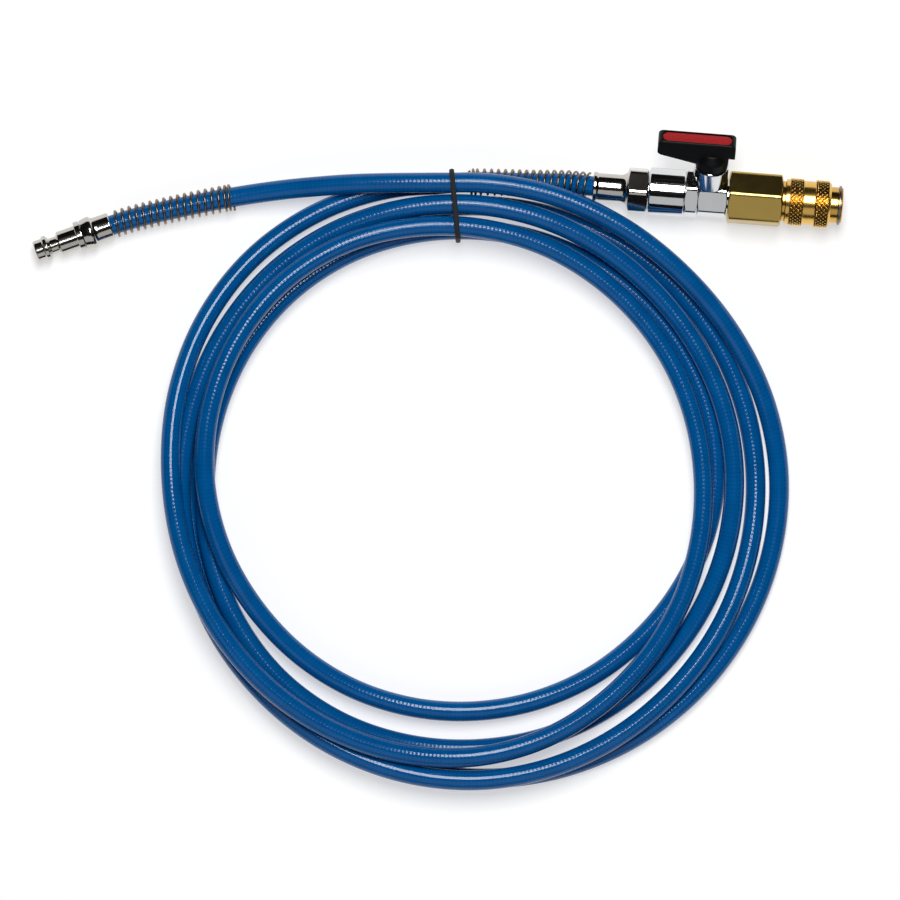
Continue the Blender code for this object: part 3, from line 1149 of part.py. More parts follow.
def main():
    """Build every piece."""
    clear_scene()
    finishes = make_finishes()
    line = make_frame("valve_line", Matrix.Translation((0, AXIS_Y, AXIS_Z))
                      @ Matrix.Rotation(math.pi / 2, 4, "Y"))
    stem = make_frame("stem_axis", Matrix.Translation((STEM_X, AXIS_Y, AXIS_Z))
                      @ Matrix.Rotation(STEM_ELEVATION - math.pi / 2, 4, "X"))
    tip = to_world([(*PLUG_TIP_IN_ROUTE, PLUG_NUT_RADIUS / MM)])[0]
    plug = make_frame("plug_line", Matrix.Translation(Vector(tip))
                      @ Matrix.Rotation(PLUG_RISE + ROUTE_TURN, 4, "Z")
                      @ Matrix.Rotation(math.pi / 2, 4, "Y"))
    build_clamp_nut(line, finishes)
    build_hose_barb(line, finishes)
    build_end_connector(line, finishes)
    build_valve_body(line, stem, finishes)
    build_ball_and_seats(line, stem, finishes)
    build_stem(stem, finishes)
    build_lever(stem, finishes)
    build_coupling_bodies(line, finishes)
    build_sleeve(line, finishes)
    build_lock_balls(line, finishes)
    build_poppet(line, finishes)
    build_plug(plug, finishes)
    plug_lead, coil, valve_lead = build_hose(finishes)
    kink_spring("plug_kink_spring", plug_lead, True, finishes)
    kink_spring("valve_kink_spring", valve_lead, False, finishes)
    build_band(plug_lead, coil, valve_lead, finishes)


main()
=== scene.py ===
"""Looks of a coiled gas hose with a quick plug, a lever ball valve and a quick coupling.

Every new piece is a grid of points worked out with numpy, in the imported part's own frame. Sizes
are in millimetres and become metres when a mesh is made.
"""

import logging
import math
from dataclasses import dataclass
from enum import Enum
from typing import Any, Optional, Sequence, Union

import bpy
import numpy as np
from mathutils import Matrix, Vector


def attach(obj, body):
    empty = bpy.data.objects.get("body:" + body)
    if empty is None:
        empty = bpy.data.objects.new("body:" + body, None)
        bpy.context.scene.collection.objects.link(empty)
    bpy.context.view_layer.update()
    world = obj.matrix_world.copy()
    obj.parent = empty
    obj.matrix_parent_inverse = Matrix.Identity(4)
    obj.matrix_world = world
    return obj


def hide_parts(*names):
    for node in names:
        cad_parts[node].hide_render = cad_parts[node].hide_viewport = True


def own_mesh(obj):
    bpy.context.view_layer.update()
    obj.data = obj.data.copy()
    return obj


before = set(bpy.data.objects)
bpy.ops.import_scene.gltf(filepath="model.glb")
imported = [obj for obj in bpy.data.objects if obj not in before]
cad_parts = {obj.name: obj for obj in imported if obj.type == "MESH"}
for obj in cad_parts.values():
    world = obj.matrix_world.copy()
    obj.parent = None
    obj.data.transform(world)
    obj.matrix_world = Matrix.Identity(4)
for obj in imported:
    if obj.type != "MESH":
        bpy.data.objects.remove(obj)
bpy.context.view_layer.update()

Array = np.ndarray
Number = Union[int, float, "Value"]
Colour = tuple[float, float, float]
Ends = tuple[float, float]
Outline = tuple[tuple[float, float], ...]

MM = 0.001
ROUND = 96
SHARP = math.radians(32)
GAP = 0.3
WHITE = (1.0, 1.0, 1.0)
# Points on the curve of a turned corner, and of a corner that is cut to a hexagon
TURNED_CURVE = 4
HEXAGON_CURVE = 3
# Radii of the sleeve where the painted shade in a knurl groove is darkest and where it is gone
KNURL_GROOVE = 11.22
KNURL_PLAIN = 11.1
# Scales of the fine lines on turned and brushed metal, and the hose's yarns each way
TURNED_ROUND = 1.5
BRUSHED_ROUND = 70.0
BRUSHED_ALONG = 90.0
BRAID_YARNS = 12
ROOT = "hose_and_fittings"
LEVER_BODY = "lever_and_ball"
SLEEVE_BODY = "sleeve"
LOG = logging.getLogger("coiled_gas_hose")

# Centre line of the hose from the valve, round the coil, to the plug
HOSE_STATIONS = (
    (-42.8, -8.5, 14.1), (-59.2, -8.5, 14.1), (-75.3, -8.1, 10.8), (-91.5, -9.1, 8.6),
    (-108.0, -9.9, 7.6), (-124.4, -11.0, 7.2), (-140.7, -13.6, 7.2), (-157.0, -16.0, 7.4),
    (-194.5, -30.1, 7.9), (-226.7, -55.2, 10.0), (-249.4, -89.6, 15.3), (-260.4, -129.1, 21.9),
    (-259.9, -169.6, 26.4), (-250.0, -208.2, 27.6), (-230.6, -242.5, 27.2), (-203.0, -270.0, 25.9),
    (-169.5, -288.6, 23.8), (-132.9, -297.3, 20.9), (-96.2, -295.5, 18.5), (-62.6, -283.0, 17.3),
    (-35.2, -262.2, 16.7), (-14.7, -236.6, 16.3), (-1.4, -208.1, 16.1), (4.5, -178.4, 16.1),
    (3.8, -149.0, 15.9), (-2.8, -120.9, 15.8), (-15.2, -94.8, 15.9), (-33.5, -71.8, 16.3),
    (-57.0, -53.1, 17.2), (-85.0, -39.8, 18.5), (-116.6, -33.9, 20.0), (-150.0, -35.9, 21.7),
    (-183.0, -46.8, 23.4), (-211.8, -67.9, 24.9), (-232.5, -97.7, 26.4), (-243.1, -132.3, 27.5),
    (-243.2, -168.3, 26.9), (-232.6, -202.1, 23.1), (-213.5, -230.8, 17.1), (-188.6, -253.2, 12.0),
    (-159.6, -267.9, 9.4), (-128.6, -274.4, 8.0), (-97.9, -273.3, 7.0), (-68.9, -265.4, 6.3),
    (-42.8, -251.1, 6.1), (-21.0, -231.2, 5.9), (-4.0, -206.9, 5.5), (6.9, -178.9, 5.4),
    (10.0, -148.6, 5.4), (4.4, -118.3, 5.4), (-9.1, -90.5, 5.3), (-29.3, -66.9, 5.5),
    (-55.0, -48.9, 5.9), (-84.7, -38.0, 6.5), (-116.5, -34.5, 7.3), (-149.0, -38.7, 8.4),
    (-180.2, -51.0, 9.7), (-207.4, -71.8, 10.9), (-227.9, -99.9, 11.9), (-240.1, -132.9, 12.7),
    (-243.4, -168.3, 13.2), (-238.0, -204.0, 13.6), (-223.0, -237.3, 14.1), (-198.7, -265.0, 13.9),
    (-167.2, -283.8, 11.7), (-132.0, -292.7, 8.3), (-96.4, -292.2, 5.8), (-62.6, -283.1, 5.1),
    (-32.8, -265.8, 5.1), (-8.5, -241.9, 5.9), (8.7, -213.0, 7.8), (18.1, -180.9, 10.5),
    (19.2, -147.8, 12.6), (12.0, -115.7, 13.4), (-3.0, -86.4, 13.8), (-24.4, -61.2, 14.3),
    (-51.2, -41.1, 15.7), (-82.7, -27.5, 17.4), (-117.5, -22.4, 18.2), (-153.3, -26.6, 17.5),
    (-187.5, -40.2, 16.0), (-217.2, -63.3, 15.0), (-239.1, -94.5, 14.8), (-252.0, -130.7, 14.9),
    (-255.4, -169.3, 14.9), (-248.6, -207.7, 14.8), (-231.8, -243.3, 14.7), (-205.6, -273.1, 14.8),
    (-172.4, -294.8, 15.2), (-134.6, -306.6, 15.9), (-95.2, -307.5, 16.2), (-57.6, -297.2, 15.8),
    (-24.8, -277.4, 14.9), (1.4, -250.4, 13.5), (19.9, -218.3, 11.0), (29.4, -183.1, 7.9),
    (30.0, -147.0, 5.7), (21.8, -112.2, 5.1), (5.4, -80.6, 5.2), (-18.5, -54.3, 5.5),
    (-48.4, -35.3, 6.0), (-82.2, -24.5, 6.6), (-117.5, -22.3, 6.9), (-152.7, -28.2, 6.4),
    (-185.8, -42.8, 5.7), (-214.2, -66.0, 5.1), (-235.3, -96.4, 5.1), (-247.8, -131.5, 5.1),
    (-251.0, -168.9, 5.1), (-244.2, -206.2, 5.1), (-227.7, -240.5, 5.1), (-202.7, -269.7, 5.1),
    (-170.9, -291.5, 5.1), (-134.2, -304.3, 5.2), (-95.3, -307.0, 5.3), (-56.9, -299.3, 5.3),
    (-21.8, -281.8, 5.5), (7.5, -255.6, 5.7), (28.8, -222.5, 5.4), (40.5, -185.1, 5.1),
    (41.6, -146.1, 6.0), (31.6, -108.7, 9.4), (12.1, -76.0, 14.3), (-14.0, -49.1, 18.0),
    (-45.1, -28.2, 19.5), (-80.4, -15.0, 19.8), (-118.4, -11.3, 20.2), (-134.4, -12.4, 19.8),
    (-150.4, -13.7, 19.2), (-166.4, -15.1, 18.1), (-182.3, -16.8, 16.6), (-198.1, -19.1, 14.6),
    (-213.8, -21.8, 12.6), (-229.5, -25.1, 10.8), (-245.1, -28.9, 9.6), (-260.6, -33.2, 8.9),
    (-275.9, -37.8, 8.5), (-291.2, -42.9, 8.4), (-306.0, -49.1, 8.3),
)


class Pattern(Enum):
    """Fine relief of a surface; the knurl's pattern is a painted shade in its grooves instead."""

    TURNED = "fine lines round the piece"
    BRUSHED = "fine lines along the piece"
    BRAID = "crossed yarns under a hose wall"
    GRAIN = "even fine grain"
    # Painted shade: the knurl's grooves are darkened in colour only, not in relief
    KNURL = "dark grooves between the teeth of a knurl"


class Value:
    """A shader socket that takes part in Python arithmetic."""

    def __init__(self, graph: "Graph", socket: bpy.types.NodeSocket) -> None:
        """Keep a socket and the graph that it belongs to."""
        self.graph = graph
        self.socket = socket

    def _math(self, operation: str, first: Number, second: Number = 0.0) -> "Value":
        """Add one Math node.

        Args:
            operation: the Math node's operation.
            first: its first value.
            second: its second value.

        Returns:
            The node's result.
        """
        return self.graph.node("ShaderNodeMath", {"operation": operation}, {0: first, 1: second})

    def __add__(self, other: Number) -> "Value":
        """Sum."""
        return self._math("ADD", self, other)

    __radd__ = __add__

    def __sub__(self, other: Number) -> "Value":
        """Difference."""
        return self._math("SUBTRACT", self, other)

    def __rsub__(self, other: Number) -> "Value":
        """Difference from a number."""
        return self._math("SUBTRACT", other, self)

    def __mul__(self, other: Number) -> "Value":
        """Product."""
        return self._math("MULTIPLY", self, other)

    __rmul__ = __mul__

    def sine(self) -> "Value":
        """Sine of the value in radians."""
        return self._math("SINE", self)

    def least(self, other: Number) -> "Value":
        """The smaller of two values."""
        return self._math("MINIMUM", self, other)


class Graph:
    """Nodes of one material or world."""

    def __init__(self, tree: bpy.types.NodeTree) -> None:
        """Start from an empty tree."""
        self.tree = tree
        tree.nodes.clear()

    def node(self, kind: str, settings: dict[str, Any], sockets: dict[Any, Any],
             output: Union[int, str] = 0) -> Value:
        """Make a node.

        Args:
            kind: the node's type.
            settings: attributes that are set first.
            sockets: values or links by socket name or number.
            output: the result that is wanted.

        Returns:
            The wanted output.
        """
        item = self.tree.nodes.new(kind)
        for name, setting in settings.items():
            setattr(item, name, setting)
        for name, given in sockets.items():
            if isinstance(given, Value):
                self.tree.links.new(given.socket, item.inputs[name])
            else:
                item.inputs[name].default_value = given
        wanted = item.outputs[output] if len(item.outputs) else item.inputs[0]
        return Value(self, wanted)

    def noise(self, vector: Value, scale: float, detail: float = 2.0) -> Value:
        """Noise from 0 to 1 over a vector."""
        return self.node("ShaderNodeTexNoise", {}, {"Vector": vector, "Scale": scale,
                                                    "Detail": detail})

    def vector(self, x: Number, y: Number, z: Number = 0.0) -> Value:
        """A vector of three values."""
        return self.node("ShaderNodeCombineXYZ", {}, {"X": x, "Y": y, "Z": z})

    def part(self, vector: Value, axis: str) -> Value:
        """One of a vector's three values."""
        return self.node("ShaderNodeSeparateXYZ", {}, {0: vector}, axis)

    def blend(self, share: Value, low: Sequence[float], high: Sequence[float]) -> Value:
        """A colour between two, by a share."""
        return self.node("ShaderNodeMix", {"data_type": "RGBA"},
                         {0: share, 6: (*low, 1.0), 7: (*high, 1.0)}, 2)


@dataclass(frozen=True)
class Finish:
    """A surface: its colours, gloss and fine relief.

    The colour goes from low to high with soft patches and, by contrast, with the relief. Roughness
    wanders by spread. The pattern's relief has a pitch and a depth in millimetres, and gloss is how
    strongly a surface that is not metal reflects.
    """

    name: str
    slot: str
    low: Colour
    high: Colour
    roughness: float
    spread: float
    metallic: float
    pattern: Pattern
    pitch: float
    depth: float
    patch: float = 90.0
    gloss: float = 0.5
    contrast: float = 0.4

    def relief(self, graph: Graph, place: Value) -> Value:
        """Height of the fine relief.

        TURNED is noise drawn out round the piece, BRUSHED noise drawn out along it, BRAID the
        product of two sines that run round the hose in opposite ways, and GRAIN noise of the place.
        KNURL is the square of how far the squared distance from the valve's axis lies from a
        groove's, over what it differs by at the sleeve's plain ends, and at most 1; it paints shade
        into the grooves.

        Args:
            graph: the material's nodes.
            place: object coordinates.

        Returns:
            A height from about 0 to 1.
        """
        rate = 1.0 / (self.pitch * MM)
        if self.pattern is Pattern.GRAIN:
            return graph.noise(place, rate)
        # Painted shade in the knurl's grooves: the height is 0 at the groove radius, where the
        # colour is darkest
        if self.pattern is Pattern.KNURL:
            side = graph.part(place, "Y") - VALVE_LINE.origin[1] * MM
            up = graph.part(place, "Z") - VALVE_LINE.origin[2] * MM
            groove, plain = KNURL_GROOVE * MM, KNURL_PLAIN * MM
            off = (side * side + up * up - groove ** 2) * (1.0 / (groove ** 2 - plain ** 2))
            return (off * off).least(1.0)
        chart = graph.node("ShaderNodeUVMap", {"uv_map": "surface"}, {})
        around = graph.part(chart, "X")
        length = graph.part(chart, "Y")
        if self.pattern is Pattern.TURNED:
            return graph.noise(graph.vector(length * rate, around * TURNED_ROUND), 1.0, 3.0)
        if self.pattern is Pattern.BRUSHED:
            lines = graph.vector(around * (BRUSHED_ROUND / self.pitch), length * BRUSHED_ALONG)
            return graph.noise(lines, 1.0, 3.0)
        yarns = BRAID_YARNS * math.tau
        turn = math.pi * rate
        first = (around * yarns + length * turn).sine()
        second = (around * yarns - length * turn).sine()
        return 0.5 + first * second * 0.5

    def make(self) -> bpy.types.Material:
        """Make the material.

        Returns:
            A material whose colour, roughness and normal vary over the surface.
        """
        material = bpy.data.materials.new(self.name)
        material.use_nodes = True
        graph = Graph(material.node_tree)
        place = graph.node("ShaderNodeTexCoord", {}, {}, "Object")
        patches = graph.noise(place, self.patch, 3.0)
        height = self.relief(graph, place)
        share = patches * (1 - self.contrast) + height * self.contrast
        rough = (self.roughness - self.spread / 2) + patches * self.spread
        bump = graph.node("ShaderNodeBump", {}, {"Strength": 1.0, "Distance": self.depth * MM,
                                                 "Height": height})
        shader = graph.node("ShaderNodeBsdfPrincipled", {}, {
            "Base Color": graph.blend(share, self.low, self.high), "Roughness": rough,
            "Metallic": self.metallic, "Specular IOR Level": self.gloss, "Normal": bump})
        graph.node("ShaderNodeOutputMaterial", {}, {"Surface": shader})
        return material


FINISHES = {finish.name: finish for finish in (
    Finish("blue_hose_wall", "blue_hose", (0.0, 0.062, 0.235), (0.0, 0.128, 0.40), 0.14, 0.05, 0.0,
           Pattern.BRAID, 2.0, 0.04, gloss=0.3),
    Finish("bright_nickel", "nickel", (0.50, 0.475, 0.44), (0.62, 0.595, 0.56), 0.12, 0.06, 1.0,
           Pattern.TURNED, 0.35, 0.004),
    Finish("bright_chrome", "chrome", (0.66, 0.67, 0.68), (0.76, 0.765, 0.775), 0.08, 0.05, 1.0,
           Pattern.TURNED, 0.6, 0.0015),
    Finish("milled_brass", "brass", (0.44, 0.30, 0.075), (0.58, 0.41, 0.115), 0.24, 0.10, 1.0,
           Pattern.BRUSHED, 0.4, 0.012),
    Finish("turned_brass", "brass", (0.60, 0.345, 0.07), (0.74, 0.455, 0.115), 0.20, 0.08, 1.0,
           Pattern.TURNED, 0.3, 0.010),
    # Brass knurl with painted shade: the dark low colour fills the grooves, the bright high the
    # teeth
    Finish("knurl_teeth", "brass", (0.09, 0.042, 0.008), (0.84, 0.52, 0.13), 0.22, 0.08, 1.0,
           Pattern.KNURL, 1.0, 0.0, contrast=0.85),
    Finish("ring_steel", "steel", (0.16, 0.15, 0.14), (0.26, 0.25, 0.24), 0.30, 0.10, 1.0,
           Pattern.TURNED, 0.3, 0.010),
    Finish("spring_wire", "spring_steel", (0.17, 0.125, 0.085), (0.31, 0.24, 0.17), 0.30, 0.12, 1.0,
           Pattern.BRUSHED, 0.5, 0.010),
    Finish("lever_plastic", "black_plastic", (0.002, 0.002, 0.0022), (0.0045, 0.0045, 0.005), 0.42,
           0.10, 0.0, Pattern.GRAIN, 0.35, 0.012, gloss=0.14),
    Finish("red_inlay", "red_strip", (0.16, 0.006, 0.008), (0.66, 0.030, 0.034), 0.42, 0.12, 0.0,
           Pattern.GRAIN, 0.7, 0.020, patch=900.0, gloss=0.15, contrast=0.6),
    Finish("black_rubber", "black_rubber", (0.004, 0.004, 0.004), (0.010, 0.010, 0.010), 0.50, 0.12,
           0.0, Pattern.GRAIN, 0.4, 0.012, gloss=0.08),
    Finish("inner_steel", "steel", (0.48, 0.49, 0.50), (0.60, 0.61, 0.62), 0.24, 0.10, 1.0,
           Pattern.GRAIN, 0.3, 0.005),
    Finish("inner_brass", "brass", (0.58, 0.42, 0.15), (0.70, 0.52, 0.20), 0.26, 0.10, 1.0,
           Pattern.GRAIN, 0.3, 0.005),
    Finish("inner_nickel", "nickel", (0.60, 0.57, 0.53), (0.70, 0.68, 0.64), 0.20, 0.08, 1.0,
           Pattern.GRAIN, 0.3, 0.005),
    Finish("white_seal", "white_seal", (0.78, 0.78, 0.75), (0.86, 0.86, 0.84), 0.48, 0.10, 0.0,
           Pattern.GRAIN, 0.5, 0.010),
)}

# Inner pieces that keep their solids
INNER_NODES = {
    "inner_nickel": ("hose_barb",),
    "inner_steel": ("valve_ball", "valve_stem", "lever_screw", "lock_ball_1", "lock_ball_2",
                    "lock_ball_3", "lock_ball_4"),
    "inner_brass": ("poppet",),
    "black_rubber": ("barb_seal", "stem_o_ring", "coupling_body_seal", "plug_seal", "poppet_seal"),
    "white_seal": ("ball_seat_hose_side", "ball_seat_coupling_side", "stem_washer"),
}


@dataclass
class Shell:
    """A grid of points, closed round both ways or with flat ends.

    points holds rows along the piece and columns round it, in millimetres. chart holds the
    distance of each row along the surface.
    """

    points: Array
    chart: Array
    loop: bool

    def faces(self, first: int) -> tuple[list[list[int]], Array]:
        """Corner numbers and surface coordinates of every face.

        Row i and column j have the corners (i, j), (i + 1, j), (i + 1, j + 1), (i, j + 1), with
        the last column joined to the first. The order turns round where the enclosed volume comes
        out negative, so faces point outwards.

        Args:
            first: the number of the shell's first point in the mesh.

        Returns:
            The faces, and one pair of coordinates for each of their corners.
        """
        rows, columns = self.points.shape[:2]
        last = rows if self.loop else rows - 1
        i, j = np.divmod(np.arange(last * columns), columns)
        down = np.stack((i, i + 1, i + 1, i), 1)
        over = np.stack((j, j, j + 1, j + 1), 1)
        corners = (down % rows) * columns + over % columns
        length = np.append(self.chart, self.chart[-1] + self.chart[1])
        chart = np.stack((over / columns, length[down] * MM), 2)
        flat = self.points.reshape(-1, 3)
        a, b, c, d = (flat[corners[:, k]] for k in range(4))
        volume = float(np.sum(np.cross(a, b) * c) + np.sum(np.cross(a, c) * d))
        if volume < 0:
            corners = corners[:, ::-1]
            chart = chart[:, ::-1]
        faces = (corners + first).tolist()
        chart = chart.reshape(-1, 2)
        if not self.loop:
            starts = (first, first + last * columns)
            ends = [list(range(start, start + columns)) for start in starts]
            ends[0 if volume > 0 else 1].reverse()
            faces += ends
            far_end = np.full((columns, 2), length[-1] * MM)
            chart = np.vstack((chart, np.zeros((columns, 2)), far_end))
        return faces, chart


def make_piece(name: str, shells: Sequence[Shell], finish: str, body: str,
               *replaced: str) -> bpy.types.Object:
    """Make a mesh of shells, dress it and put it on its body.

    Args:
        name: the piece's name.
        shells: closed surfaces in millimetres.
        finish: the name of its finish.
        body: the body that it moves with.
        replaced: the solids that it stands for.

    Returns:
        The piece, at the origin, with its place in its mesh.
    """
    points: list[Array] = []
    faces: list[list[int]] = []
    charts: list[Array] = []
    for shell in shells:
        shell_faces, chart = shell.faces(sum(len(block) for block in points))
        faces += shell_faces
        points.append(shell.points.reshape(-1, 3))
        charts.append(chart)
    mesh = bpy.data.meshes.new(name)
    mesh.from_pydata(np.vstack(points) * MM, [], faces)
    layer = mesh.uv_layers.new(name="surface")
    layer.data.foreach_set("uv", np.vstack(charts).astype(np.float32).ravel())
    mesh.shade_smooth()
    mesh.set_sharp_from_angle(angle=SHARP)
    mesh.validate()
    piece = bpy.data.objects.new(name, mesh)
    bpy.context.scene.collection.objects.link(piece)
    mesh.materials.append(bpy.data.materials[finish])
    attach(piece, body)
    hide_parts(*replaced)
    LOG.info("%s: %d faces on %s", name, len(faces), body)
    return piece


@dataclass(frozen=True)
class Axis:
    """A line that pieces are turned round: an origin, its direction and the bearing 0."""

    origin: tuple[float, float, float]
    along: tuple[float, float, float]
    side: tuple[float, float, float]

    def place(self, radius: Array, bearing: Array, station: Array) -> Array:
        """Points at radius, bearing and station.

        The point is origin + station * along + radius * (cos bearing * side + sin bearing * third),
        where third is side x along.

        Args:
            radius: distances from the line.
            bearing: angles round it.
            station: distances along it.

        Returns:
            Points, with one more dimension than the arguments.
        """
        along = np.array(self.along)
        side = np.array(self.side)
        third = np.cross(side, along)
        return (np.array(self.origin) + station[..., None] * along
                + (radius * np.cos(bearing))[..., None] * side
                + (radius * np.sin(bearing))[..., None] * third)


def lengths_along(points: Array) -> Array:
    """Distance of each point of a line from its start."""
    legs = np.linalg.norm(np.diff(points, axis=0), axis=1)
    return np.concatenate(([0.0], np.cumsum(legs)))


def bearings(count: int) -> Array:
    """Even angles round one turn."""
    return math.tau * np.arange(count) / count


def units(vectors: Array) -> Array:
    """Each vector made one long."""
    return vectors / np.maximum(np.linalg.norm(vectors, axis=1), 1e-12)[:, None]


def rounded(corners: Outline, radius: float, count: int = TURNED_CURVE) -> Array:
    """A closed outline with each corner cut to a small curve.

    Each corner P between A and B becomes the quadratic curve from P + (A - P) t to P + (B - P) t,
    drawn towards P, where t keeps the cut within radius and 0.45 of the shorter leg. One more point
    on each leg, a tenth further out, keeps the long faces beside the curve flat in their shading.

    Args:
        corners: radius and station of each corner.
        radius: the length that is cut from each leg.
        count: points on each corner's curve.

    Returns:
        The outline's points.
    """
    here = np.array(corners, dtype=float)
    before = np.roll(here, 1, axis=0) - here
    after = np.roll(here, -1, axis=0) - here
    reach = [leg * np.minimum(0.45, radius / np.maximum(np.linalg.norm(leg, axis=1), 1e-6))[:, None]
             for leg in (before, after)]
    t = np.linspace(0.0, 1.0, count)[None, :, None]
    curve = here[:, None] + (1 - t) ** 2 * reach[0][:, None] + t ** 2 * reach[1][:, None]
    held = [here[:, None] + 1.1 * leg[:, None] for leg in reach]
    return np.concatenate((held[0], curve, held[1]), axis=1).reshape(-1, 2)


def hexagon_radius(flats: float, roll: float, bearing: Array, corner: float = 0.35) -> Array:
    """Radius of a hexagon with slightly rounded corners at each bearing.

    It is half the flats over the cosine of the angle from the nearest flat's middle, kept under the
    corner's distance less a small round.

    Args:
        flats: width across flats.
        roll: bearing of one corner.
        bearing: angles round the axis.
        corner: how much the corners are rounded off.

    Returns:
        A radius for each bearing.
    """
    sixth = math.pi / 3
    from_flat = (bearing - roll) % sixth - sixth / 2
    return np.minimum(flats / 2 / np.cos(from_flat), flats / math.sqrt(3) - corner)


def turned(axis: Axis, outline: Array, limit: Optional[Array] = None, columns: int = ROUND,
           roll: float = 0.0) -> Shell:
    """Turn a closed outline round an axis.

    The radius at row i and bearing t is the outline's radius, or the limit's where that is less.

    Args:
        axis: the line that it is turned round.
        outline: radius and station of each row.
        limit: the largest radius at each row and bearing.
        columns: steps round the axis.
        roll: bearing of the first step.

    Returns:
        A shell closed round both ways.
    """
    bearing = roll + bearings(columns)
    radius = np.repeat(outline[:, :1], columns, axis=1)
    if limit is not None:
        radius = np.minimum(radius, limit)
    station = np.repeat(outline[:, 1:], columns, axis=1)
    points = axis.place(radius, np.broadcast_to(bearing, radius.shape), station)
    return Shell(points, lengths_along(outline), True)


def hexed(axis: Axis, corners: Outline, edge: float, flats: float, roll: float,
          ends: Ends) -> Shell:
    """Turn an outline with small round corners and cut it to a hexagon between two stations.

    Args:
        axis: the line that it is turned round.
        corners: radius and station of each corner.
        edge: the length that is cut from each corner's legs.
        flats: width across flats.
        roll: bearing of one corner of the hexagon.
        ends: first and last station of the hexagon.

    Returns:
        A shell closed round both ways.
    """
    outline = rounded(corners, edge, HEXAGON_CURVE)
    inside = (outline[:, 1] >= ends[0]) & (outline[:, 1] <= ends[1])
    radius = hexagon_radius(flats, roll, roll + bearings(ROUND))
    limit = np.where(inside[:, None], radius[None, :], np.inf)
    return turned(axis, outline, limit, ROUND, roll)


def slope(radius_from: float, station_from: float, radius_to: float, station_to: float,
          count: int = 8) -> list[tuple[float, float]]:
    """Points of a straight slope between two corners of an outline.

    Args:
        radius_from: radius of the first corner.
        station_from: station of the first corner.
        radius_to: radius of the second corner.
        station_to: station of the second corner.
        count: how many points.

    Returns:
        Radius and station of each point.
    """
    share = np.linspace(0.0, 1.0, count)
    radius = radius_from + (radius_to - radius_from) * share
    station = station_from + (station_to - station_from) * share
    return list(zip(radius.tolist(), station.tolist()))


def quarter(radius_from: float, station_from: float, radius_to: float, station_to: float,
            count: int = 12) -> list[tuple[float, float]]:
    """Points of a quarter ellipse that leaves the first corner along the axis.

    At the angle a, the radius has gone 1 - cos a of its way and the station sin a.

    Args:
        radius_from: radius of the first corner.
        station_from: station of the first corner.
        radius_to: radius of the second corner.
        station_to: station of the second corner.
        count: how many points.

    Returns:
        Radius and station of each point.
    """
    angle = np.linspace(0.0, math.pi / 2, count)
    radius = radius_from + (radius_to - radius_from) * (1 - np.cos(angle))
    station = station_from + (station_to - station_from) * np.sin(angle)
    return list(zip(radius.tolist(), station.tolist()))


def swept(path: Array, radius: float, columns: int) -> Shell:
    """A round tube along a path.

    Row i is a circle about path point i in the plane of two directions across the path: the one
    that carried_side gives, and its cross product with the tangent.

    Args:
        path: centre points, close together.
        radius: the tube's radius.
        columns: points round it.

    Returns:
        A shell with flat ends.
    """
    tangent = units(np.gradient(path, axis=0))
    side = carried_side(tangent)
    up = np.cross(side, tangent)
    bearing = bearings(columns)[None, :, None]
    ring = np.cos(bearing) * side[:, None] + np.sin(bearing) * up[:, None]
    return Shell(path[:, None] + radius * ring, lengths_along(path), False)


def carried_side(tangent: Array) -> Array:
    """Directions across a path that follow it without twisting much.

    Each is the tangent x z where the path lies flat. A path that winds round a line takes the
    tangent x its change there instead, which never runs along it.

    Args:
        tangent: unit directions along the path.

    Returns:
        Unit directions across it.
    """
    upright = np.abs(tangent[:, 2]).max() > 0.8
    reference = np.gradient(tangent, axis=0) if upright else np.array((0.0, 0.0, 1.0))
    return units(np.cross(tangent, reference))


def smooth_route(stations: Sequence[tuple[float, float, float]], step: float) -> Array:
    """A smooth line through stations.

    Between two stations it is the cubic with their places and slopes, and a slope is the change of
    place with distance along the stations.

    Args:
        stations: points that the line passes.
        step: distance between points of the result.

    Returns:
        Points of the line.
    """
    fixed = np.array(stations, dtype=float)
    reach = lengths_along(fixed)
    slopes = np.gradient(fixed, reach, axis=0)
    wanted = np.linspace(0.0, reach[-1], int(reach[-1] / step) + 1)
    k = np.clip(np.searchsorted(reach, wanted, side="right") - 1, 0, len(fixed) - 2)
    width = (reach[k + 1] - reach[k])[:, None]
    t = (wanted - reach[k])[:, None] / width
    return ((1 + 2 * t) * (1 - t) ** 2 * fixed[k] + t * (1 - t) ** 2 * width * slopes[k]
            + t ** 2 * (3 - 2 * t) * fixed[k + 1] - t ** 2 * (1 - t) * width * slopes[k + 1])


VALVE_LINE = Axis((0.0, -8.4544, 14.0542), (1.0, 0.0, 0.0), (0.0, 0.0, 1.0))
STEM_LINE = Axis((-4.6, -8.4544, 14.0542), (0.0, 0.669131, 0.743145), (1.0, 0.0, 0.0))
PLUG_LINE = Axis((-336.566, -62.650, 8.3), (0.914536, 0.404504, 0.0), (0.0, 0.0, 1.0))


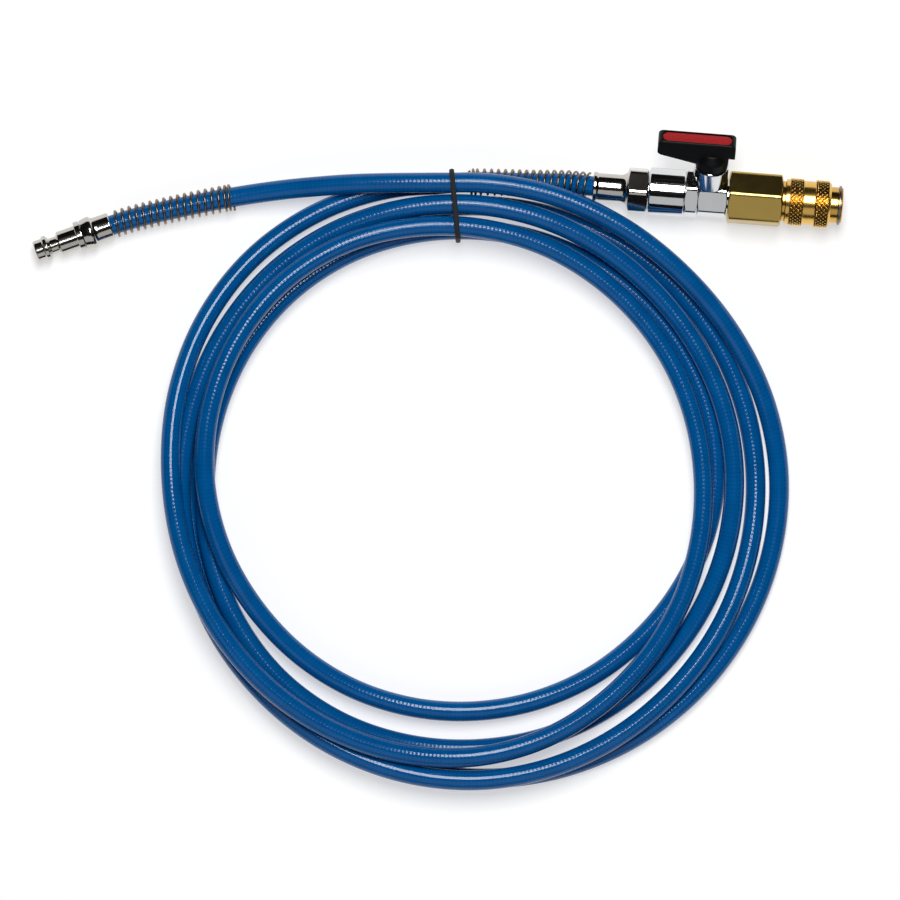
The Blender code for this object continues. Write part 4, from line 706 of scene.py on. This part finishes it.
@dataclass
class Hose:
    """Blue reinforced hose with a kink spring at each end and a band round its bundle."""

    diameter: float = 10.0
    step: float = 3.0
    columns: int = 28
    spring_radius: float = 6.25
    spring_wire: float = 1.2
    spring_length: float = 60.0
    spring_curls: int = 18
    curl_points: int = 28
    wire_columns: int = 12
    close_curls: int = 2
    close_pitch: float = 2.0
    valve_cover: float = 19.5
    plug_cover: float = 6.7
    band_bearing: float = math.radians(-9.76)
    band_width: float = 2.5
    band_thickness: float = 1.5
    band_centre: float = 0.95
    band_points: int = 240
    band_columns: int = 16
    band_bulge: float = 0.9
    coil_centre: tuple[float, float] = (-106.931, -157.681)

    def route(self) -> Array:
        """Centre line from the valve to the plug."""
        return smooth_route(HOSE_STATIONS, self.step)

    def spring(self, route: Array, cover: float) -> Shell:
        """Kink spring round the start of a route.

        The wire's centre is route(s) + radius * (cos a * side + sin a * up). The angle a turns once
        a curl, and s grows by the open pitch, then by the close pitch on the last curls.

        Args:
            route: the hose's centre line, from the nut.
            cover: length of hose inside the nut.

        Returns:
            The spring's wire.
        """
        open_curls = self.spring_curls - self.close_curls
        open_pitch = (self.spring_length - self.close_curls * self.close_pitch) / open_curls
        curl = np.linspace(0.0, self.spring_curls, self.spring_curls * self.curl_points + 1)
        place = cover + GAP + 1.5 * self.spring_wire + np.minimum(curl, open_curls) * open_pitch
        place += np.maximum(curl - open_curls, 0.0) * self.close_pitch
        reach = lengths_along(route)
        centre = np.column_stack([np.interp(place, reach, route[:, axis]) for axis in range(3)])
        tangent = units(np.gradient(centre, axis=0))
        side = units(np.cross(tangent, (0.0, 0.0, 1.0)))
        up = np.cross(side, tangent)
        angle = math.tau * curl[:, None]
        line = centre + self.spring_radius * (np.cos(angle) * side + np.sin(angle) * up)
        return swept(line, self.spring_wire / 2, self.wire_columns)

    def band(self, route: Array) -> Shell:
        """Elastic band pulled round the strands of the bundle.

        For each direction u across the bundle, the band passes the strand that reaches furthest
        that way, at that strand's centre + clearance * u. Its section is an ellipse whose cosine
        and sine are raised to a power, so that it comes nearer a strip.

        Args:
            route: the hose's centre line.

        Returns:
            A ring of rubber.
        """
        outward = np.array((math.sin(self.band_bearing), math.cos(self.band_bearing), 0.0))
        forward = np.array((math.cos(self.band_bearing), -math.sin(self.band_bearing), 0.0))
        centre = np.array((*self.coil_centre, 0.0))
        offset = route - centre
        near = (np.abs(offset @ forward) < self.step) & (offset @ outward > 0)
        strands = np.column_stack((offset[near] @ outward, offset[near][:, 2]))
        bearing = bearings(self.band_points)
        ways = np.column_stack((np.cos(bearing), np.sin(bearing)))
        furthest = strands[np.argmax(ways @ strands.T, axis=1)]
        clear = self.diameter / 2 + self.band_centre
        ring = furthest + clear * ways
        turn = bearings(self.band_columns)
        circle = np.column_stack((np.cos(turn), np.sin(turn)))
        section = np.sign(circle) * np.abs(circle) ** self.band_bulge
        across = section[None, :, 0] * self.band_width / 2
        thick = section[None, :, 1, None] * ways[:, None] * self.band_thickness / 2
        flat = ring[:, None] + thick
        points = (centre + flat[..., :1] * outward + across[..., None] * forward
                  + flat[..., 1:] * np.array((0.0, 0.0, 1.0)))
        return Shell(points, lengths_along(ring), True)

    def build(self, plug_pieces: Sequence[bpy.types.Object]) -> None:
        """Make the hose, both springs and the band.

        Args:
            plug_pieces: the pieces on the hose's far end; not used.
        """
        route = self.route()
        wall = swept(route, self.diameter / 2, self.columns)
        hose = make_piece("gas_hose", [wall], "blue_hose_wall", ROOT,
                          "hose_plug_lead", "hose_coil", "hose_valve_lead")
        springs = [
            make_piece("valve_kink_spring_wire", [self.spring(route, self.valve_cover)],
                       "spring_wire", ROOT, "valve_kink_spring"),
            make_piece("plug_kink_spring_wire", [self.spring(route[::-1], self.plug_cover)],
                       "spring_wire", ROOT, "plug_kink_spring"),
        ]
        band = make_piece("bundle_elastic_band", [self.band(route)], "black_rubber", ROOT,
                          "bundle_band")
        tuple(route[0] * MM)
        (route * MM).tolist()


@dataclass
class Plug:
    """Nickel quick plug and the nut that clamps the hose on it."""

    edge: float = 0.25
    body_outline: Outline = (
        (4.9, 0.0), (5.5, 0.6), (5.5, 4.4), (6.4, 5.0), (6.4, 6.7), (4.25, 8.2), (4.25, 11.8),
        (6.1, 12.8), (6.1, 22.1), (7.8, 22.1), (7.8, 24.9), (5.9, 24.9), (5.9, 33.1), (2.0, 33.1),
        (2.0, 48.4), (1.3, 48.4), (1.3, 24.9), (2.4, 22.1), (2.4, 0.0))
    nut_outline: Outline = (
        (7.6, 25.2), (8.15, 27.8), (8.3, 29.4), *quarter(6.8, 33.2, 8.0, 30.6)[::-1], (6.8, 39.5),
        (6.2, 40.1), (5.3, 40.1), (5.3, 33.4), (6.2, 33.4), (6.2, 25.2))

    def body(self) -> Shell:
        """Plug with its nose, ridge, locking groove, collar and barb."""
        return turned(PLUG_LINE, rounded(self.body_outline, self.edge))

    def nut(self) -> Shell:
        """Round clamp nut with a bulge that narrows in a hollow curve to its neck."""
        return turned(PLUG_LINE, rounded(self.nut_outline, self.edge))

    def build(self) -> list[bpy.types.Object]:
        """Make both pieces and return them."""
        return [make_piece("quick_plug", [self.body()], "bright_nickel", ROOT, "plug_body"),
                make_piece("plug_hose_nut", [self.nut()], "bright_nickel", ROOT, "plug_clamp_nut")]


@dataclass
class BallValve:
    """Clamp nut, end connector, hexagonal body with its stem boss, and the lever."""

    edge: float = 0.2
    nut_flats: float = 20.5
    nut_roll: float = math.radians(-9.0)
    nut_hexagon: Ends = (-45.6, -34.8)
    nut_outline: Outline = (
        (7.1, -62.25), (7.4, -61.95), (7.4, -60.7), (6.85, -59.55),
        *quarter(6.85, -49.15, 9.6, -45.15), *slope(9.75, -45.1, 12.0, -43.9),
        *slope(12.0, -36.0, 9.9, -34.85), (8.6, -34.85), (8.6, -42.75), (5.3, -42.75),
        (5.3, -62.25))
    connector_flats: float = 22.0
    connector_hexagon: Ends = (-16.35, -10.1)
    connector_outline: Outline = (
        (11.2, -34.55), (11.8, -33.95), (11.8, -17.0), (11.3, -16.5), (10.9, -16.4),
        *slope(11.0, -16.3, 13.0, -15.3), *slope(13.0, -11.1, 11.2, -10.15), (6.9, -10.15),
        (6.9, -12.2), (3.0, -12.2), (3.0, -25.25), (5.3, -25.25), (5.3, -34.55))
    body_flats: float = 20.5
    body_roll: float = math.radians(12.0)
    body_hexagon: Ends = (-9.9, 4.6)
    body_outline: Outline = (
        *slope(10.0, -9.85, 12.0, -8.9), *slope(12.0, 3.5, 9.9, 4.55), (7.5, 4.55), (7.5, 14.05),
        (3.0, 14.05), (3.0, 3.0), (6.9, 3.0), (6.9, -9.85))
    boss_radius: float = 8.7
    boss_top: float = 23.1
    boss_neck: float = 5.2
    boss_foot: float = 11.35
    boss_sunk: float = 1.5
    boss_chamfer: float = 0.6
    boss_bore: float = 3.55
    lever_width: float = 9.0
    lever_top: float = 40.4
    lever_front: float = -27.5
    lever_back: float = 11.1
    lever_end_low: float = 30.8
    lever_underside: float = 25.7
    lever_straight: Ends = (-20.0, 4.0)
    lever_corner: float = 2.5
    lever_nose: float = 0.6
    lever_edge: float = 1.2
    heel_step: float = 0.02
    hub_radius: float = 8.2
    hub_shoulder: float = 28.7
    hub_top: float = 32.4
    hub_top_radius: float = 5.2
    hub_bore: float = 3.6
    hub_edge: float = 0.6
    strip_width: float = 6.2
    strip_margin: float = 2.2
    strip_depth: float = 1.4
    strip_sink: float = 0.2
    strip_crown: float = 0.2
    strip_bevel: float = 0.25
    slot_least: float = 0.05

    def clamp_nut(self) -> Shell:
        """Nut: a lipped neck that flares into a chamfered hexagon."""
        return hexed(VALVE_LINE, self.nut_outline, self.edge, self.nut_flats, self.nut_roll,
                     self.nut_hexagon)

    def connector(self) -> Shell:
        """End connector: a round barrel with a hexagonal collar at the seam."""
        return hexed(VALVE_LINE, self.connector_outline, self.edge, self.connector_flats,
                     self.body_roll, self.connector_hexagon)

    def body(self) -> Shell:
        """Hexagonal valve body with its threaded end."""
        return hexed(VALVE_LINE, self.body_outline, self.edge, self.body_flats, self.body_roll,
                     self.body_hexagon)

    def boss(self) -> Shell:
        """Round stem boss on a short neck above the body's upper flat.

        Returns:
            A shell closed round both ways.
        """
        wide, top, foot = self.boss_radius, self.boss_top, self.boss_foot
        sunk = foot - self.boss_sunk
        outline = ((self.boss_neck, sunk), (self.boss_neck, foot), (wide, foot),
                   (wide, top - self.boss_chamfer), (wide - self.boss_chamfer, top),
                   (self.boss_bore, top), (self.boss_bore, sunk))
        return turned(STEM_LINE, rounded(outline, self.edge))

    def recess_half(self, x: Array, margin: float) -> Array:
        """Half width of a slot with half-round ends.

        It is the root of the half width squared less the distance beyond an end's centre squared.

        Args:
            x: stations along the lever.
            margin: how much the slot is widened all round.

        Returns:
            A half width for each station, 0 outside the slot.
        """
        half = self.strip_width / 2 + margin
        low = self.lever_front + self.strip_margin - margin + half
        high = self.lever_back - self.strip_margin + margin - half
        beyond = np.maximum(np.maximum(low - x, x - high), 0.0)
        return np.sqrt(np.maximum(half ** 2 - beyond ** 2, 0.0))

    def lever_stations(self) -> tuple[Array, Array, Array]:
        """Stations along the lever with its underside and top there.

        The top falls in a quarter circle at both ends. The underside slopes from the front to the
        hub and steps up behind it, and its front corner rises by a share of the top's fall.

        Returns:
            The stations, the underside and the top.
        """
        share = np.linspace(0.0, math.pi / 2, 10)
        round_in = self.lever_corner * (1 - np.cos(share))
        round_up = self.lever_corner * (1 - np.sin(share))
        slot_low = self.lever_front + self.strip_margin - GAP
        slot_high = self.lever_back - self.strip_margin + GAP
        ease = (self.strip_width / 2 + GAP) * (1 - np.cos(np.linspace(0.0, math.pi / 2, 16)))
        back = self.hub_radius - GAP
        x = np.concatenate((self.lever_front + round_in, slot_low + ease,
                            np.linspace(*self.lever_straight, 13), slot_high - ease[::-1],
                            (back, back + self.heel_step), self.lever_back - round_in[::-1]))
        x = np.unique(np.round(x, 4))
        drop = np.interp(x, self.lever_front + round_in, round_up, left=0.0, right=0.0)
        drop = np.where(x > self.lever_front + self.lever_corner, 0.0, drop)
        back_drop = np.interp(x, (self.lever_back - round_in)[::-1], round_up[::-1], left=0.0)
        back_drop = np.where(x > self.lever_back - self.lever_corner, back_drop, 0.0)
        top = self.lever_top - drop - back_drop
        low = np.interp(x, (self.lever_front, -back), (self.lever_end_low, self.lever_underside))
        low = np.where(x > back, self.lever_end_low, low)
        return x, low + self.lever_nose * drop, top

    def arm(self) -> Shell:
        """Lever arm: a rounded section carried along X, with a slot for the strip in its top.

        At each station the section runs from the underside up one side, over the top edge, down
        into the slot and out again. The slot closes to nothing beyond its half-round ends.

        Returns:
            A shell with flat ends.
        """
        x, low, top = self.lever_stations()
        half = self.lever_width / 2
        edge = self.lever_edge
        angle = np.linspace(0.0, math.pi / 2, 6)
        slot = self.recess_half(x, GAP)
        floor = np.where(slot > self.slot_least, self.strip_depth + GAP, 0.0)
        slot = np.where(slot > self.slot_least, slot, 0.0)
        span = np.minimum(edge, (top - low) / 3)
        corner_v = [half - span * (1 - math.cos(a)) for a in angle]
        lower = [(half - span * (1 - math.sin(a)), low + span * (1 - math.cos(a))) for a in angle]
        upper = [(v, top - span * (1 - math.sin(a))) for v, a in zip(corner_v, angle)]
        inset = [(slot, top), (slot, top - floor)]
        right = lower + upper + inset
        section = right + [(-v, w) for v, w in reversed(right)]
        v = np.stack([pair[0] for pair in section], axis=1)
        w = np.stack([pair[1] for pair in section], axis=1)
        return Shell(self.on_stem(x, v, w), x - x[0], False)

    def on_stem(self, x: Array, across: Array, up: Array) -> Array:
        """Points of sections along the lever.

        The point is the stem's origin + x * side + across * third + up * along, where third is
        along x side.

        Args:
            x: station of each section.
            across: places across the lever, one row for each section.
            up: places up the stem, one row for each section.

        Returns:
            Points, with one more dimension than across and up.
        """
        along = np.array(STEM_LINE.along)
        side = np.array(STEM_LINE.side)
        third = np.cross(along, side)
        return (np.array(STEM_LINE.origin) + x[:, None, None] * side + across[..., None] * third
                + up[..., None] * along)

    def hub(self) -> Shell:
        """Round hub under the arm.

        Returns:
            A shell closed round both ways.
        """
        low = self.boss_top + GAP
        outline = ((self.hub_radius, low), (self.hub_radius, self.hub_shoulder),
                   (self.hub_top_radius, self.hub_top), (self.hub_bore, self.hub_top),
                   (self.hub_bore, low))
        return turned(STEM_LINE, rounded(outline, self.hub_edge))

    def strip(self) -> Shell:
        """Red strip with half-round ends and a slightly crowned top.

        The section at x is as wide as the strip there, with a flat bottom. Its top falls by the
        crown times s squared and the bevel times s to the twelfth, for s from -1 to 1 across it.

        Returns:
            A shell with flat ends.
        """
        low = self.lever_front + self.strip_margin
        high = self.lever_back - self.strip_margin
        half = self.strip_width / 2
        ease = half * (1 - np.cos(np.linspace(0.12, math.pi / 2, 18)))
        x = np.concatenate((low + ease, np.linspace(low + half + 1.0, high - half - 1.0, 10),
                            high - ease[::-1]))
        wide = self.recess_half(x, 0.0)[:, None]
        top = self.lever_top - self.strip_sink
        share = np.linspace(-1.0, 1.0, 11)[None, :]
        crown = self.strip_crown * share ** 2 + self.strip_bevel * np.abs(share) ** 12
        v = np.concatenate((wide * share, wide, -wide), axis=1)
        bottom = np.full_like(wide, self.lever_top - self.strip_depth)
        w = np.concatenate((np.repeat(top - crown, len(x), axis=0), bottom, bottom), axis=1)
        return Shell(self.on_stem(x, v, w), x - x[0], False)

    def build(self) -> None:
        """Make every visible piece of the valve."""
        make_piece("valve_hose_nut", [self.clamp_nut()], "bright_nickel", ROOT, "valve_clamp_nut")
        make_piece("valve_connector", [self.connector()], "bright_chrome", ROOT,
                   "valve_end_connector")
        make_piece("valve_housing", [self.body(), self.boss()], "bright_chrome", ROOT, "valve_body")
        make_piece("lever_arm", [self.arm(), self.hub()], "lever_plastic", LEVER_BODY, "lever")
        make_piece("lever_inlay", [self.strip()], "red_inlay", LEVER_BODY, "lever_strip")


@dataclass(frozen=True)
class CoilSpring:
    """A compression spring: its radius and wire, both ends' stations and its curls."""

    radius: float
    wire: float
    low: float
    high: float
    curls: int


@dataclass
class QuickCoupling:
    """Brass hexagon, front body, knurled sliding sleeve, retaining ring and the two springs."""

    edge: float = 0.2
    flats: float = 24.5
    roll: float = math.radians(6.5)
    knurl_teeth: int = 32
    knurl_pitch: float = 2.3
    knurl_depth: float = 0.55
    knurl_columns: int = 512
    knurl_step: float = 0.18
    knurl_rise: float = 1.6
    hexagon_ends: Ends = (5.2, 31.9)
    hexagon_outline: Outline = (
        *slope(12.1, 5.25, 14.3, 6.35), *slope(14.3, 30.75, 12.1, 31.85), (8.1, 31.85),
        (8.1, 18.45), (4.2, 18.45), (4.2, 14.35), (7.8, 14.35), (7.8, 5.25))
    front_outline: Outline = (
        (7.8, 20.25), (7.8, 32.15), (10.1, 32.15), (10.1, 33.55), (9.0, 33.55), (9.0, 59.85),
        (8.3, 59.85), (8.3, 61.65), (9.0, 61.65), (9.0, 61.75), (8.5, 62.25), (7.1, 62.25),
        (6.6, 61.75), (6.6, 47.05), (5.8, 46.25), (5.8, 44.7), (6.95, 44.7), (6.95, 43.0),
        (5.8, 43.0), (5.8, 41.65), (4.2, 41.65), (4.2, 40.25), (6.2, 40.25), (6.2, 24.25),
        (3.4, 24.25), (3.4, 20.25))
    sleeve_radius: float = 11.7
    sleeve_tail: Outline = ((11.1, 33.85), (11.1, 35.6), (11.25, 35.75))
    sleeve_waist: Outline = (
        (10.98, 42.45), (10.9, 42.6), (10.9, 42.65), (10.9, 48.15), (10.9, 48.2), (10.98, 48.35))
    sleeve_mouth: Outline = (
        (11.25, 55.05), (11.1, 55.2), (10.5, 56.1), (10.3, 56.25), (9.35, 56.25), (9.35, 55.45),
        (10.55, 55.45), (10.55, 53.5), (9.35, 48.85), (9.35, 42.15), (10.4, 42.15), (10.4, 33.85))
    bands: tuple[Ends, Ends] = ((35.85, 42.35), (48.45, 54.95))
    ring_outline: Outline = ((8.6, 60.15), (9.8, 60.15), (9.8, 61.35), (8.6, 61.35))
    ring_edge: float = 0.3
    sleeve_spring: CoilSpring = CoilSpring(9.7, 0.7, 33.85, 41.85, 4)
    poppet_spring: CoilSpring = CoilSpring(4.2, 0.8, 24.55, 36.95, 5)
    curl_points: int = 32
    wire_columns: int = 10

    def hexagon(self) -> Shell:
        """Hexagonal body with chamfered ends, bored from both sides."""
        return hexed(VALVE_LINE, self.hexagon_outline, self.edge, self.flats, self.roll,
                     self.hexagon_ends)

    def front(self) -> Shell:
        """Front body with its flange, barrel, ring groove, socket, seal groove and poppet seat."""
        return turned(VALVE_LINE, rounded(self.front_outline, self.edge))

    def sleeve(self) -> Shell:
        """Sleeve with two diamond-knurled bands, a waist, and the ramp for the lock balls.

        On a band the radius falls by depth * (1 - min(1, rise * min(saw a, saw b))), where a and b
        are N * bearing / turn plus and minus station / pitch, and saw rises from 0 to 1 and back.

        Returns:
            A shell closed round both ways.
        """
        radius = self.sleeve_radius
        stations = [np.arange(start + self.knurl_step, end, self.knurl_step)
                    for start, end in self.bands]
        back, fore = (np.column_stack((np.full_like(rows, radius), rows)) for rows in stations)
        outline = np.vstack((self.sleeve_tail, back, self.sleeve_waist, fore, self.sleeve_mouth))
        knurled = outline[:, 0] == radius
        bearing = np.arange(self.knurl_columns) / self.knurl_columns
        turn = self.knurl_teeth * bearing[None, :]
        rise = outline[:, 1:] / self.knurl_pitch
        saws = [1 - np.abs(2 * ((turn + sign * rise) % 1.0) - 1) for sign in (1, -1)]
        fall = self.knurl_depth * (1 - np.minimum(1.0, self.knurl_rise * np.minimum(*saws)))
        limit = np.where(knurled[:, None], radius - fall, np.inf)
        return turned(VALVE_LINE, outline, limit, self.knurl_columns)

    def ring(self) -> Shell:
        """Retaining ring in the nose's groove."""
        return turned(VALVE_LINE, rounded(self.ring_outline, self.ring_edge))

    def spring(self, size: CoilSpring) -> Shell:
        """A spring whose wire turns round the axis while its station rises evenly.

        Args:
            size: the spring's sizes.

        Returns:
            The wire, with flat ends.
        """
        share = np.linspace(0.0, 1.0, size.curls * self.curl_points + 1)
        station = size.low + size.wire / 2 + (size.high - size.low - size.wire) * share
        angle = math.tau * size.curls * share
        line = VALVE_LINE.place(np.full_like(share, size.radius), angle, station)
        return swept(line, size.wire / 2, self.wire_columns)

    def build(self) -> None:
        """Make every piece of the coupling."""
        make_piece("coupling_hexagon", [self.hexagon()], "milled_brass", ROOT, "coupling_hex_body")
        make_piece("coupling_barrel", [self.front()], "turned_brass", ROOT, "coupling_front_body")
        # The sleeve's finish paints shade into its knurl grooves
        make_piece("coupling_knurled_sleeve", [self.sleeve()], "knurl_teeth", SLEEVE_BODY,
                   "coupling_sleeve")
        make_piece("coupling_retaining_ring", [self.ring()], "ring_steel", ROOT, "retaining_ring")
        make_piece("sleeve_spring_wire", [self.spring(self.sleeve_spring)], "ring_steel", ROOT,
                   "sleeve_spring")
        poppet = make_piece("poppet_spring_wire", [self.spring(self.poppet_spring)], "ring_steel",
                            ROOT, "poppet_spring")
        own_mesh(poppet)


@dataclass(frozen=True)
class Lamp:
    """A soft rectangular lamp: its place from the middle of the view, its sides and its watts."""

    name: str
    place: tuple[float, float, float]
    wide: float
    deep: float
    power: float


@dataclass
class Studio:
    """Floor, lamps and camera, in metres."""

    floor_half: float = 3.0
    centre: tuple[float, float] = (-0.12297, -0.14489)
    height: float = 5.0
    field: float = 0.4485
    field_height: float = 0.008
    roll: float = math.radians(4.46)
    sensor: float = 36.0
    floor_grey: float = 0.62
    floor_glow: float = 0.53
    room_grey: float = 0.006
    lamps: tuple[Lamp, ...] = (Lamp("key_lamp", (0.0, 0.98, 2.8), 0.8, 1.47, 66.0),
                               Lamp("white_card", (0.0, -1.2, 1.25), 2.6, 1.3, 6.4))

    def floor(self) -> None:
        """Plain pale floor."""
        half = self.floor_half
        mesh = bpy.data.meshes.new("floor")
        corners = [(-half, -half, 0), (half, -half, 0), (half, half, 0), (-half, half, 0)]
        mesh.from_pydata(corners, [], [(0, 1, 2, 3)])
        material = bpy.data.materials.new("pale_floor")
        material.use_nodes = True
        graph = Graph(material.node_tree)
        grey = (self.floor_grey, self.floor_grey, self.floor_grey, 1.0)
        diffuse = graph.node("ShaderNodeBsdfDiffuse", {}, {"Color": grey})
        glow = graph.node("ShaderNodeEmission", {}, {"Color": (*WHITE, 1.0),
                                                     "Strength": self.floor_glow})
        both = graph.node("ShaderNodeAddShader", {}, {0: diffuse, 1: glow})
        graph.node("ShaderNodeOutputMaterial", {}, {"Surface": both})
        mesh.materials.append(material)
        floor = bpy.data.objects.new("floor", mesh)
        bpy.context.scene.collection.objects.link(floor)

    def world(self) -> None:
        """Dark room that the camera sees as white, so that metal shows dark bands."""
        world = bpy.data.worlds.new("studio")
        bpy.context.scene.world = world
        world.use_nodes = True
        graph = Graph(world.node_tree)
        seen = graph.node("ShaderNodeLightPath", {}, {}, "Is Camera Ray")
        colour = graph.blend(seen, (self.room_grey,) * 3, WHITE)
        sky = graph.node("ShaderNodeBackground", {}, {"Color": colour, "Strength": 1.0})
        graph.node("ShaderNodeOutputWorld", {}, {"Surface": sky})

    def hang(self, lamp: Lamp) -> None:
        """Hang a lamp so that it faces the object.

        Args:
            lamp: its place, sides and power.
        """
        light = bpy.data.lights.new(lamp.name, "AREA")
        light.shape = "RECTANGLE"
        light.size = lamp.wide
        light.size_y = lamp.deep
        light.energy = lamp.power
        item = bpy.data.objects.new(lamp.name, light)
        middle = Vector((*self.centre, 0.0))
        item.location = middle + Vector(lamp.place)
        item.rotation_euler = (middle - item.location).to_track_quat("-Z", "Y").to_euler()
        bpy.context.scene.collection.objects.link(item)

    def camera(self) -> None:
        """Camera straight above the hose, turned as the photograph is."""
        data = bpy.data.cameras.new("camera")
        data.sensor_width = self.sensor
        data.lens = self.sensor * (self.height - self.field_height) / self.field
        camera = bpy.data.objects.new("camera", data)
        camera.location = (*self.centre, self.height)
        camera.rotation_euler = (0.0, 0.0, self.roll)
        bpy.context.scene.collection.objects.link(camera)
        bpy.context.scene.camera = camera

    def build(self) -> None:
        """Set up the whole studio."""
        bpy.context.scene.view_settings.view_transform = "Standard"
        self.floor()
        self.world()
        for lamp in self.lamps:
            self.hang(lamp)
        self.camera()


def dress_inner_nodes() -> None:
    """Give each solid that stays its procedural finish."""
    for finish, names in INNER_NODES.items():
        for name in names:
            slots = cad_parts[name].data.materials
            slots.clear()
            slots.append(bpy.data.materials[finish])
            LOG.info("%s: kept solid in %s", name, finish)


def main() -> None:
    """Build the looks in order."""
    logging.basicConfig(level=logging.INFO, format="%(message)s")
    for finish in FINISHES.values():
        finish.make()
    Studio().build()
    Hose().build(Plug().build())
    BallValve().build()
    QuickCoupling().build()
    dress_inner_nodes()
    bpy.context.view_layer.update()


if __name__ == "__main__":
    main()
